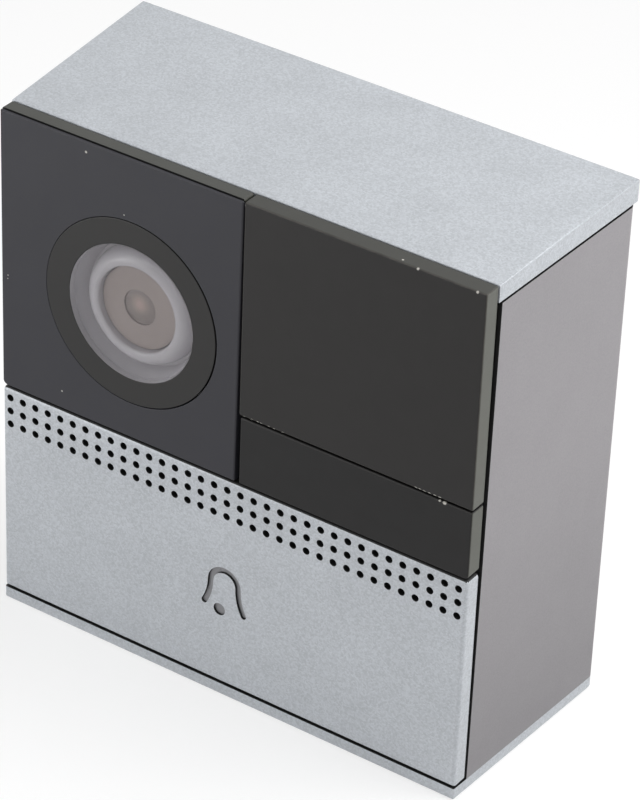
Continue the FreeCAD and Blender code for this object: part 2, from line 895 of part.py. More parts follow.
def camera_bezel():
    """The flush dark ring whose lip holds the window from the front."""
    profile = [
        (window_view_radius, front_y),
        (bezel_radius, front_y),
        (bezel_radius, bezel_back),
        (window_radius + window_fit, bezel_back),
        (window_radius + window_fit, front_y + bezel_lip),
        (window_view_radius, front_y + bezel_lip),
    ]
    return ring_profile(profile, camera_x, camera_z)


def camera_window():
    """The clear disc in front of the lens."""
    return rod_y(window_radius, camera_x, camera_z, front_y + bezel_lip, bezel_back)


def window_seal():
    """The flat seal between the window, the bezel and the shroud."""
    outer = bezel_radius - window_fit
    return tube_y(outer, window_view_radius, camera_x, camera_z, bezel_back, shroud_front)


def lens_shroud():
    """The stepped pale funnel round the lens, with a valley and a raised inner ring."""
    bore = lens_flange_radius + lens_fit
    valley_y = front_y + shroud_valley_depth
    crest_y = front_y + shroud_crest_depth

    def place(radius, y):
        return Vector(camera_x + radius, y, camera_z)
    outline = [
        place(bore, crest_y),
        place(bore, front_y + shroud_back_depth),
        place(shroud_spigot_radius, front_y + shroud_back_depth),
        place(shroud_spigot_radius, cover_back),
        place(bezel_radius, cover_back),
        place(bezel_radius, shroud_front),
        place(window_view_radius, shroud_front),
        place(shroud_wall_foot, valley_y),
        place(shroud_valley_radius, valley_y),
    ]
    run = shroud_valley_radius - bore
    fall = valley_y - crest_y
    chord = math.hypot(run, fall)
    bulge_x = bore + run / 2 + shroud_bulge * fall / chord
    bulge_y = (crest_y + valley_y) / 2 - shroud_bulge * run / chord
    bulge = place(bulge_x, bulge_y)
    edges = [Part.makeLine(a, b) for a, b in zip(outline, outline[1:])]
    edges.append(Part.Arc(outline[-1], bulge, outline[0]).toShape())
    face = Part.Face(Part.Wire(edges))
    return face.revolve(Vector(camera_x, 0, camera_z), back, 360)


def lens_flange():
    """The flat front disc of the lens."""
    y0 = front_y + lens_flange_depth
    return tube_y(lens_flange_radius, lens_radius, camera_x, camera_z, y0, y0 + lens_flange_thickness)


def lens_barrel():
    """The lens barrel, with the seat of the front lens and the bore behind it."""
    y0 = front_y + lens_flange_depth + lens_flange_thickness
    y1 = y0 + barrel_length
    barrel = rod_y(barrel_radius, camera_x, camera_z, y0, y1)
    seat = rod_y(lens_radius, camera_x, camera_z, y0 - tiny, y0 + lens_seat_depth)
    return barrel.cut(seat).cut(rod_y(lens_rear_radius, camera_x, camera_z, y0, y1 + tiny))


def lens_glass():
    """The front lens: flat behind and domed in front."""
    y_back = front_y + lens_flange_depth + lens_flange_thickness + lens_seat_depth
    radius = lens_radius - pivot_fit
    rim_y = y_back - lens_seat_depth + lens_bulge
    points = [Vector(camera_x, y_back, camera_z), Vector(camera_x + radius, y_back, camera_z),
              Vector(camera_x + radius, rim_y, camera_z)]
    apex = Vector(camera_x, rim_y - lens_bulge, camera_z)
    sphere_radius = (radius * radius + lens_bulge * lens_bulge) / (2 * lens_bulge)
    half_angle = math.asin(radius / sphere_radius) / 2
    centre_y = apex.y + sphere_radius
    middle_x = camera_x + sphere_radius * math.sin(half_angle)
    middle = Vector(middle_x, centre_y - sphere_radius * math.cos(half_angle), camera_z)
    edges = [Part.makeLine(points[0], points[1]), Part.makeLine(points[1], points[2]),
             Part.Arc(points[2], middle, apex).toShape(), Part.makeLine(apex, points[0])]
    return Part.Face(Part.Wire(edges)).revolve(points[0], back, 360)


def lens_holder():
    """The square holder on the camera board that the barrel screws into."""
    half = holder_size / 2
    y0 = front_y + holder_front_depth
    block = box(camera_x - half, camera_x + half, y0, camera_board_y, camera_z - half, camera_z + half)
    bore = rod_y(barrel_radius + pivot_fit, camera_x, camera_z, y0 - tiny, camera_board_y + tiny)
    room = sensor_room / 2
    chamber = box(camera_x - room, camera_x + room,
                  camera_board_y - sensor_room_depth, camera_board_y + tiny,
                  camera_z - room, camera_z + room)
    return block.cut(bore).cut(chamber)


def image_sensor():
    """The image sensor on the camera board."""
    half = sensor_size / 2
    return box(camera_x - half, camera_x + half, camera_board_y - sensor_thickness, camera_board_y,
               camera_z - half, camera_z + half)


def camera_board():
    """The camera's circuit board."""
    half = camera_board_size / 2
    board = box(camera_x - half, camera_x + half, camera_board_y, camera_board_back,
                camera_z - half, camera_z + half)
    holes = [rod_y(small_screw_radius + screw_play, x, z, camera_board_y - tiny, camera_board_back + tiny)
             for x, z in camera_post_places()]
    return cut_all(board, holes)


def board_screws(places, y_head, direction, length):
    """A group of small screws along Y."""
    screws = [screw_y(x, z, y_head, direction, small_screw_radius, length,
                      small_head_radius, small_head_height)
              for x, z in places]
    return Part.makeCompound(screws)


def bell_strokes(width, clapper):
    """The faces of the bell symbol in the front plane: an arched stroke and a round clapper."""
    def place(dx, dz):
        return Vector(bell_x + dx, front_y, bell_z + dz)
    left_foot = place(-bell_foot_x, -bell_foot_drop)
    left_waist = place(-bell_waist_x, -bell_waist_drop)
    left_shoulder = place(-bell_arch_radius, 0)
    crown = place(0, bell_arch_radius)
    right_shoulder = place(bell_arch_radius, 0)
    right_waist = place(bell_waist_x, -bell_waist_drop)
    right_foot = place(bell_foot_x, -bell_foot_drop)
    runs = [
        Part.Arc(left_foot, left_waist, left_shoulder).toShape(),
        Part.Arc(left_shoulder, crown, right_shoulder).toShape(),
        Part.Arc(right_shoulder, right_waist, right_foot).toShape(),
    ]
    stroke = Part.Wire(runs).makeOffset2D(width / 2, 0, True, False)
    disc = Part.Face(Part.Wire(Part.makeCircle(clapper, place(clapper_x, -clapper_drop), back)))
    return [stroke, disc]


def bell_prisms(width, clapper, y0, y1):
    """The bell symbol as solids between two depths."""
    prisms = []
    for face in bell_strokes(width, clapper):
        prism = face.extrude(Vector(0, y1 - y0, 0))
        prism.translate(Vector(0, y0 - front_y, 0))
        prisms.append(prism)
    return prisms


def grille_places():
    """Centres of the holes of the grille."""
    middle = (grille_columns - 1) / 2
    first_z = key_high - grille_top_drop
    return [((column - middle) * grille_pitch, first_z - row * grille_row_pitch)
            for row in range(grille_rows) for column in range(grille_columns)]


def call_panel():
    """The pale panel that is the call key: grille, bell, pivot ears, stop hooks and switch boss."""
    slab = rounded_plate(-half_front, half_front, key_low, key_high, cover_edge_radius, key_corner_radius,
                         front_y, cover_back)
    slab = round_front_edges(slab, key_edge_radius)
    hollow = box(-half_front + cover_rim, half_front - cover_rim, face_back, cover_back + tiny,
                 key_low + cover_rim, key_high - cover_rim)
    slab = slab.cut(hollow)
    added = []
    cloth_low = grille_places()[-1][1] - grille_hole_radius - cloth_margin
    rib_back = cover_back - cover_edge_radius
    added.append(box(-half_front + cover_rim, half_front - cover_rim, face_back - tiny, rib_back,
                     cloth_low - rib_thickness, cloth_low - tiny))
    for x in (-rib_spread / 2, rib_spread / 2):
        added.append(box(x - rib_thickness / 2, x + rib_thickness / 2, face_back - tiny, rib_back,
                         spring_z + spring_width, cloth_low - rib_thickness + tiny))
    added.append(rod_y(key_boss_radius, 0, plunger_z, face_back - tiny, plate_front - plunger_gap))
    for side in (-1, 1):
        x0 = side * ear_x - ear_width / 2
        arm = box(x0, x0 + ear_width, face_back - tiny, pivot_y, pivot_z - ear_radius, pivot_z + ear_radius)
        added.append(arm.fuse(rod_x(ear_radius, pivot_y, pivot_z, x0, x0 + ear_width)))
        hx0 = side * hook_x - hook_width / 2
        catch_y = plate_back + hook_play
        leg_low = hook_z - hook_thickness / 2
        leg_high = hook_z + hook_thickness / 2
        added.append(box(hx0, hx0 + hook_width, face_back - tiny, catch_y + hook_length, leg_low, leg_high))
        barb = [
            Vector(hx0, catch_y, leg_high - tiny),
            Vector(hx0, catch_y, leg_high + hook_catch),
            Vector(hx0, catch_y + hook_length, leg_high - tiny),
        ]
        added.append(polygon_face(barb).extrude(Vector(hook_width, 0, 0)))
    panel = fuse_all([slab] + added)
    removed = [rod_y(grille_hole_radius, x, z, front_y - tiny, face_back + tiny)
               for x, z in grille_places()]
    for side in (-1, 1):
        x0 = side * ear_x - ear_width / 2
        removed.append(rod_x(pin_radius + pivot_fit, pivot_y, pivot_z, x0 - tiny, x0 + ear_width + tiny))
    removed += bell_prisms(bell_stroke, clapper_radius, front_y - tiny, face_back + tiny)
    return cut_all(panel, removed)


def bell_lens():
    """The translucent insert that fills the bell from behind."""
    filled = bell_prisms(bell_stroke - 2 * bell_fit, clapper_radius - bell_fit,
                         front_y + bell_sink, face_back + tiny)
    base = rounded_plate(bell_x - bell_base_half, bell_x + bell_base_half, bell_z - bell_base_low,
                         bell_z + bell_base_high, cover_corner_radius, cover_corner_radius,
                         face_back, face_back + bell_base_thickness)
    return fuse_all([base] + filled)


def grille_cloth():
    """The dark cloth glued behind the grille, notched round the pivot ears."""
    places = grille_places()
    margin = grille_hole_radius + cloth_margin
    half = half_front - cover_rim - ear_cloth_play
    low = places[-1][1] - margin
    high = places[0][1] + margin
    cloth = box(-half, half, face_back, face_back + cloth_thickness, low, high)
    reach = ear_width / 2 + ear_cloth_play
    notches = [box(side * ear_x - reach, side * ear_x + reach,
                   face_back - tiny, face_back + cloth_thickness + tiny,
                   pivot_z - ear_radius - ear_cloth_play, high + tiny) for side in (-1, 1)]
    return cut_all(cloth, notches)


def pivot_pins():
    """The two steel pins that the call panel turns on."""
    pins = []
    for side in (-1, 1):
        reach = ear_width / 2 + side_play + lug_width
        pins.append(rod_x(pin_radius, pivot_y, pivot_z, side * ear_x - reach, side * ear_x + reach))
    return Part.makeCompound(pins)


def switch_body():
    """The body of the call switch, with the bore that its plunger slides in."""
    half = switch_size / 2
    y0 = plate_front + switch_set_back
    block = box(-half, half, y0, key_board_y, plunger_z - half, plunger_z + half)
    bore_end = plate_front + plunger_length + plunger_stroke
    return block.cut(rod_y(plunger_radius + plunger_fit, 0, plunger_z, y0 - tiny, bore_end))


def switch_plunger():
    """The plunger of the call switch."""
    return rod_y(plunger_radius, 0, plunger_z, plate_front, plate_front + plunger_length)


def return_spring():
    """A bowed strip of spring steel that holds the call panel out."""
    crown_y = face_back + spring_strip / 2 + plunger_fit / 2
    foot_y = plate_front - spring_strip
    rise = foot_y - crown_y
    radius = (spring_half_length ** 2 + rise ** 2) / (2 * rise)
    half_angle = math.asin(spring_half_length / radius)
    centre = Vector(0, crown_y + radius, spring_z - spring_width / 2)

    def place(distance, angle):
        return centre + Vector(distance * math.sin(angle), -distance * math.cos(angle), 0)
    inner = radius - spring_strip / 2
    outer = radius + spring_strip / 2
    edges = [
        Part.Arc(place(outer, -half_angle), place(outer, 0), place(outer, half_angle)).toShape(),
        Part.makeLine(place(outer, half_angle), place(inner, half_angle)),
        Part.Arc(place(inner, half_angle), place(inner, 0), place(inner, -half_angle)).toShape(),
        Part.makeLine(place(inner, -half_angle), place(outer, -half_angle)),
    ]
    return Part.Face(Part.Wire(edges)).extrude(up * spring_width)


def front_chassis():
    """The dark frame behind the covers that carries camera, speaker, switch and pivots."""
    inset = lip + chassis_play
    plate = taper(plate_front, plate_back, inset, lambda y: chassis_low, lambda y: chassis_top_z())
    shelf_half = half_width(plate_front) - inset
    shelf = box(-shelf_half, shelf_half, cover_back, plate_front + tiny, module_low, chassis_top_z())
    added = [shelf]
    removed = []
    for x, z in chassis_boss_places():
        added.append(rod_y(boss_radius, x, z, plate_back - tiny, boss_meet_y))
        removed.append(rod_y(screw_radius + screw_fit, x, z, boss_meet_y - pilot_depth, boss_meet_y + tiny))
    for x, z in camera_post_places():
        added.append(rod_y(small_post_radius, x, z, plate_back - tiny, camera_board_y))
        removed.append(rod_y(small_screw_radius + screw_fit, x, z, camera_board_y - small_screw_grip,
                             camera_board_y + tiny))
    for x, z in key_post_places():
        added.append(rod_y(small_post_radius, x, z, plate_back - tiny, key_board_y))
        removed.append(rod_y(small_screw_radius + screw_fit, x, z, plate_front + lip, key_board_y + tiny))
    for side in (-1, 1):
        for way in (-1, 1):
            middle = side * ear_x + way * (ear_width / 2 + side_play + lug_width / 2)
            x0 = middle - lug_width / 2
            web = box(x0, x0 + lug_width, plate_back - tiny, pivot_y,
                      pivot_z - lug_radius, pivot_z + lug_radius)
            added.append(web.fuse(rod_x(lug_radius, pivot_y, pivot_z, x0, x0 + lug_width)))
        reach = ear_width / 2 + side_play
        removed.append(box(side * ear_x - reach, side * ear_x + reach, cover_back, plate_back + tiny,
                           pivot_z - ear_radius - window_play, pivot_z + ear_radius + window_play))
        pin_reach = reach + lug_width
        removed.append(rod_x(pin_radius + tiny, pivot_y, pivot_z, side * ear_x - pin_reach - tiny,
                             side * ear_x + pin_reach + tiny))
        hook_half = hook_width / 2 + window_play
        removed.append(box(side * hook_x - hook_half, side * hook_x + hook_half,
                           plate_front - tiny, plate_back + tiny,
                           hook_z - hook_thickness / 2 - window_play,
                           hook_z + hook_thickness / 2 + window_play))
    added.append(tube_y(speaker_radius + speaker_rest, speaker_radius + window_fit, speaker_x, speaker_z,
                        plate_back - tiny, plate_back + speaker_gasket_thickness + speaker_flange))
    removed.append(rod_y(chassis_camera_radius, camera_x, camera_z, cover_back - tiny, plate_back + tiny))
    switch_half = switch_size / 2 + window_play
    removed.append(box(-switch_half, switch_half, plate_front - tiny, plate_back + tiny,
                       plunger_z - switch_half, plunger_z + switch_half))
    removed.append(rod_y(led_hole_radius, 0, bell_z, plate_front - tiny, plate_back + tiny))
    removed.append(rod_y(microphone_hole, microphone_x, microphone_z,
                         plate_front - tiny, plate_back + tiny))
    for i in range(sound_slot_count):
        x = speaker_x + (i - (sound_slot_count - 1) / 2) * sound_slot_pitch
        removed.append(box(x - sound_slot_width / 2, x + sound_slot_width / 2,
                           plate_front - tiny, plate_back + tiny,
                           sound_slot_low_z, sound_slot_high_z))
    for clips in cover_clips().values():
        for x, z, catch in clips:
            removed.append(snap_leg(x, z, catch, clip_head)[1])
    return cut_all(fuse_all([plate] + added), removed)


def chassis_screws():
    """The four long screws that hold the chassis to the housing, driven from the back."""
    seat = back_wall_y - chassis_screw_seat
    length = seat - boss_meet_y + pilot_depth - 2 * boss_joint_gap
    screws = [screw_y(x, z, seat, -1, screw_radius, length, screw_head_radius, screw_head_height)
              for x, z in chassis_boss_places()]
    return Part.makeCompound(screws)


def speaker_gasket():
    """The foam ring between the speaker and the chassis."""
    return tube_y(speaker_radius, speaker_opening, speaker_x, speaker_z, plate_back,
                  plate_back + speaker_gasket_thickness)


def speaker_frame():
    """The pressed basket of the speaker."""
    y0 = plate_back + speaker_gasket_thickness
    y1 = y0 + speaker_flange
    y2 = y1 + speaker_basket_depth
    sheet = speaker_flange
    profile = [
        (speaker_opening, y0),
        (speaker_radius, y0),
        (speaker_radius, y1),
        (speaker_opening + sheet, y1),
        (speaker_basket_radius + sheet, y2),
        (cone_apex_radius, y2),
        (cone_apex_radius, y2 - sheet),
        (speaker_basket_radius, y2 - sheet),
        (speaker_opening, y1),
    ]
    return ring_profile(profile, speaker_x, speaker_z)


def speaker_cone():
    """The paper cone with its dust cap."""
    y0 = plate_back + speaker_gasket_thickness + speaker_flange / 2
    y1 = y0 + cone_depth
    outer = speaker_opening - window_fit
    profile = [
        (0, y1 - cone_paper * 2),
        (cone_apex_radius, y1 - cone_paper),
        (outer - cone_surround, y0),
        (outer, y0),
        (outer, y0 + cone_paper),
        (outer - cone_paper * 2, y0 + cone_paper),
        (cone_apex_radius, y1),
        (0, y1),
    ]
    return ring_profile(profile, speaker_x, speaker_z)


def speaker_magnet():
    """The magnet behind the basket."""
    y0 = plate_back + speaker_gasket_thickness + speaker_flange + speaker_basket_depth
    return rod_y(magnet_radius, speaker_x, speaker_z, y0, y0 + magnet_length)


def microphone_boot():
    """The rubber boot that seals the microphone to its hole."""
    outer = microphone_radius + boot_wall
    y0 = plate_back
    y1 = y0 + boot_front + microphone_length
    boot = rod_y(outer, microphone_x, microphone_z, y0, y1)
    boot = boot.cut(rod_y(microphone_radius + boot_fit, microphone_x, microphone_z,
                          y0 + boot_front, y1 + tiny))
    return boot.cut(rod_y(microphone_hole, microphone_x, microphone_z, y0 - tiny, y1))


def microphone():
    """The microphone capsule."""
    y0 = plate_back + boot_front
    return rod_y(microphone_radius, microphone_x, microphone_z, y0, y0 + microphone_length)


def key_board():
    """The small board that carries the call switch and the light behind the bell."""
    board = box(-key_board_half, key_board_half, key_board_y, key_board_y + board_thickness,
                key_board_low_z, key_board_high_z)
    holes = [rod_y(small_screw_radius + screw_play, x, z,
                   key_board_y - tiny, key_board_y + board_thickness + tiny)
             for x, z in key_post_places()]
    return cut_all(board, holes)


def bell_led():
    """The light source behind the bell."""
    return box(-led_width / 2, led_width / 2, key_board_y - led_height, key_board_y, bell_z - led_depth / 2,
               bell_z + led_depth / 2)


def main_board():
    """The main circuit board, on posts of the housing."""
    board = box(-main_board_half, main_board_half, main_board_y, main_board_back,
                main_board_low_z, main_board_high_z)
    holes = [rod_y(small_screw_radius + screw_play, x, z, main_board_y - tiny, main_board_back + tiny)
             for x, z in main_post_places()]
    return cut_all(board, holes)


def terminal_places():
    """Centres of the ways of the terminal block."""
    return [(i - (terminal_ways - 1) / 2) * terminal_pitch for i in range(terminal_ways)]


def terminal_block():
    """The terminal block for the wires from the wall, with a screw and a wire mouth for each way."""
    half = terminal_ways * terminal_pitch / 2
    y1 = main_board_back + terminal_depth
    z0 = terminal_z - terminal_height / 2
    z1 = terminal_z + terminal_height / 2
    block = box(-half, half, main_board_back, y1, z0, z1)
    removed = []
    for x in terminal_places():
        sink = terminal_screw_length + terminal_screw_sink
        removed.append(rod_y(terminal_screw_radius + screw_fit, x, terminal_z + terminal_screw_rise,
                             y1 - sink, y1 + tiny))
        wire_half = terminal_wire_width / 2
        wire_front = main_board_back + wire_half
        removed.append(box(x - wire_half, x + wire_half, wire_front, wire_front + terminal_wire_width,
                           z0 - tiny, z0 + terminal_wire_depth))
    return cut_all(block, removed)


def terminal_screws():
    """The clamping screws of the terminal block."""
    y1 = main_board_back + terminal_depth - terminal_screw_sink
    screws = []
    for x in terminal_places():
        z = terminal_z + terminal_screw_rise
        screw = rod_y(terminal_screw_radius, x, z, y1 - terminal_screw_length, y1)
        slot = box(x - terminal_screw_radius, x + terminal_screw_radius,
                   y1 - terminal_screw_sink / 2, y1 + tiny,
                   z - cone_paper / 2, z + cone_paper / 2)
        screws.append(screw.cut(slot))
    return Part.makeCompound(screws)


def capacitors():
    """The round capacitors of the power supply."""
    cans = []
    for i in range(capacitor_count):
        can = rod_y(capacitor_radius, capacitor_x + i * capacitor_pitch, capacitor_z,
                    main_board_y - capacitor_length, main_board_y)
        rim = edges_where(can, lambda p: abs(p.y - (main_board_y - capacitor_length)) < tiny)
        cans.append(can.makeChamfer(capacitor_bevel, rim))
    return Part.makeCompound(cans)


def integrated_circuits():
    """The chips on the front of the main board."""
    chips = []
    for (width, height), (x, z) in zip(chip_sizes, chip_places):
        chips.append(box(x - width / 2, x + width / 2, main_board_y - chip_thickness, main_board_y,
                         z - height / 2, z + height / 2))
    return Part.makeCompound(chips)


def flex_connectors():
    """The two sockets of the flat cable, on the camera board and on the main board."""
    half = flex_width / 2 + lip
    upper = box(camera_x - half, camera_x + half, camera_board_back, camera_board_back + connector_depth,
                flex_top_z, flex_top_z + connector_height)
    lower = box(camera_x - half, camera_x + half, main_board_y - connector_depth, main_board_y,
                flex_low_z - connector_height, flex_low_z)
    return Part.makeCompound([upper, lower])


def camera_flex():
    """The flat cable from the camera board to the main board."""
    upper_y = camera_board_back + connector_depth / 2
    lower_y = main_board_y - connector_depth / 2
    x0 = camera_x - flex_width / 2
    centre = [(upper_y, flex_top_z), (upper_y, flex_bend_top_z),
              (lower_y, flex_bend_low_z), (lower_y, flex_low_z)]
    half = flex_thickness / 2
    near = [Vector(x0, y - half, z) for y, z in centre]
    away = [Vector(x0, y + half, z) for y, z in reversed(centre)]
    return polygon_face(near + away).extrude(Vector(flex_width, 0, 0))


parts = {
    "rear_housing": rear_housing(),
    "top_cover": top_cover(),
    "bottom_cover": bottom_cover(),
    "wall_bracket": wall_bracket(),
    "locking_screw": locking_screw(),
    "cable_grommet": cable_grommet(),
    "front_gasket": front_gasket(),
    "front_chassis": front_chassis(),
    "chassis_screws": chassis_screws(),
    "camera_module_frame": camera_module_frame(),
    "camera_faceplate": camera_faceplate(),
    "camera_bezel": camera_bezel(),
    "camera_window": camera_window(),
    "window_seal": window_seal(),
    "lens_shroud": lens_shroud(),
    "lens_flange": lens_flange(),
    "lens_glass": lens_glass(),
    "lens_barrel": lens_barrel(),
    "lens_holder": lens_holder(),
    "image_sensor": image_sensor(),
    "camera_board": camera_board(),
    "camera_board_screws": board_screws(camera_post_places(), camera_board_back, -1,
                                        board_thickness + small_screw_grip - screw_play),
    "upper_module_cover": upper_module_cover(),
    "lower_module_cover": lower_module_cover(),
    "call_panel": call_panel(),
    "bell_lens": bell_lens(),
    "grille_cloth": grille_cloth(),
    "pivot_pins": pivot_pins(),
    "return_spring": return_spring(),
    "switch_body": switch_body(),
    "switch_plunger": switch_plunger(),
    "key_board": key_board(),
    "key_board_screws": board_screws(key_post_places(), key_board_y + board_thickness, -1,
                                     board_thickness + chassis_plate),
    "bell_led": bell_led(),
    "speaker_gasket": speaker_gasket(),
    "speaker_frame": speaker_frame(),
    "speaker_cone": speaker_cone(),
    "speaker_magnet": speaker_magnet(),
    "microphone_boot": microphone_boot(),
    "microphone": microphone(),
    "main_board": main_board(),
    "main_board_screws": board_screws(main_post_places(), main_board_y, 1,
                                      main_board_thickness + small_screw_grip),
    "terminal_block": terminal_block(),
    "terminal_screws": terminal_screws(),
    "capacitors": capacitors(),
    "integrated_circuits": integrated_circuits(),
    "flex_connectors": flex_connectors(),
    "camera_flex": camera_flex(),
}

os.makedirs("parts", exist_ok=True)
for name, shape in parts.items():
    shape.exportStep("parts/" + name + ".step")
    print(name, "solids", len(shape.Solids), "valid", shape.isValid(), "volume", round(shape.Volume, 1))
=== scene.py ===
"""Looks of a video door phone, built round its packed construction model.

Everything is in metres in the frame of that model: X to the right as a visitor faces the front,
Y from the front face back to the wall, and Z up.
"""
import json
import logging
import math
from collections.abc import Callable
from dataclasses import dataclass
from enum import Enum

import bmesh
import bpy
from mathutils import Matrix, Vector


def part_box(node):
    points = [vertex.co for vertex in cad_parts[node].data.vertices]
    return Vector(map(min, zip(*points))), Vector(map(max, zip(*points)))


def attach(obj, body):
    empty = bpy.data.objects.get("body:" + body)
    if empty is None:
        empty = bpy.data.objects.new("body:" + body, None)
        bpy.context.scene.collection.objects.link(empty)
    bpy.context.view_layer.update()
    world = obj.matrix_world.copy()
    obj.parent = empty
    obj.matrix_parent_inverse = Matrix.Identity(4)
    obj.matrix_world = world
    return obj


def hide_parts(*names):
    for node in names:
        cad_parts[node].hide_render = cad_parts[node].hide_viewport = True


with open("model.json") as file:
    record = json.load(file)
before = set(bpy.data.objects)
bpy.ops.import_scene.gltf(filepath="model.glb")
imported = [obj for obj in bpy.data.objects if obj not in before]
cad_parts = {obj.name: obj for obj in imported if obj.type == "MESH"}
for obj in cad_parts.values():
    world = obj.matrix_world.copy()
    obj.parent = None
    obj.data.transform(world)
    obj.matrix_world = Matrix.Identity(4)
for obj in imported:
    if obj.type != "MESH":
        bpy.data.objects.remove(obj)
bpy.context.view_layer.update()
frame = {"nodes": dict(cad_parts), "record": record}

log = logging.getLogger("door_phone")

Tree = bpy.types.NodeTree
Node = bpy.types.Node
Socket = bpy.types.NodeSocket
Piece = bpy.types.Object
BMesh = bmesh.types.BMesh
BMFace = bmesh.types.BMFace
FaceTest = Callable[[BMFace], bool]
Pair = tuple[float, float]
Triple = tuple[float, float, float]
Chip = tuple[float, float, float, float]

MM = 0.001
MERGE = 1e-6
SMOOTH_ANGLE = math.radians(32)
FLAT_ANGLE = math.radians(0.6)
FLAT_AREA = 15.0 * MM * MM
ROUND_SEGMENTS = 160
ROUNDING_SEGMENTS = 3
# Thread radius and head height of the screws on the boards
SMALL_SCREW = (0.9 * MM, 1.0 * MM)
# The middle of a noise, where nearly all of its values lie
NOISE_SPAN = {"From Min": 0.3, "From Max": 0.7}
# Rubbed edges and their painted highlight come and go along their length
PATCHES = {"From Min": 0.35, "From Max": 0.6, "To Min": 0.45}
# How squarely a face looks along an axis before the painted sheen lies on it, and how little a rubbed,
# highlit edge does
SHEEN_LEAN = {"From Min": 0.7, "From Max": 0.95}
EDGE_LEAN = {"From Min": 0.97, "From Max": 0.8}
# How far the roughness wanders
GLOSS_DRIFT = 0.04

BODY_OF_NODE = {
    node: body for body, nodes in frame["record"]["behaviour"]["bodies"].items() for node in nodes
}


class Faces(Enum):
    """Which way the head of a screw looks."""

    FRONT = "front"
    BACK = "back"


def linear(colour: str) -> tuple[float, float, float, float]:
    """Turns an sRGB hex colour to linear.

    Args:
        colour: The colour as "#rrggbb".

    Returns:
        Red, green, blue and an alpha of 1.
    """
    parts = [int(colour[i:i + 2], 16) / 255 for i in (1, 3, 5)]
    made = [c / 12.92 if c <= 0.04045 else ((c + 0.055) / 1.055) ** 2.4 for c in parts]
    return (made[0], made[1], made[2], 1.0)


def add_node(tree: Tree, kind: str, settings: dict | None = None, inputs: dict | None = None) -> Node:
    """Adds a shader node.

    Args:
        tree: The material's node tree.
        kind: The node's type name.
        settings: Properties of the node.
        inputs: Values or output sockets, by input name or index.

    Returns:
        The node.
    """
    node = tree.nodes.new(kind)
    for name, value in (settings or {}).items():
        setattr(node, name, value)
    for name, value in (inputs or {}).items():
        if isinstance(value, Socket):
            tree.links.new(value, node.inputs[name])
        else:
            node.inputs[name].default_value = value
    return node


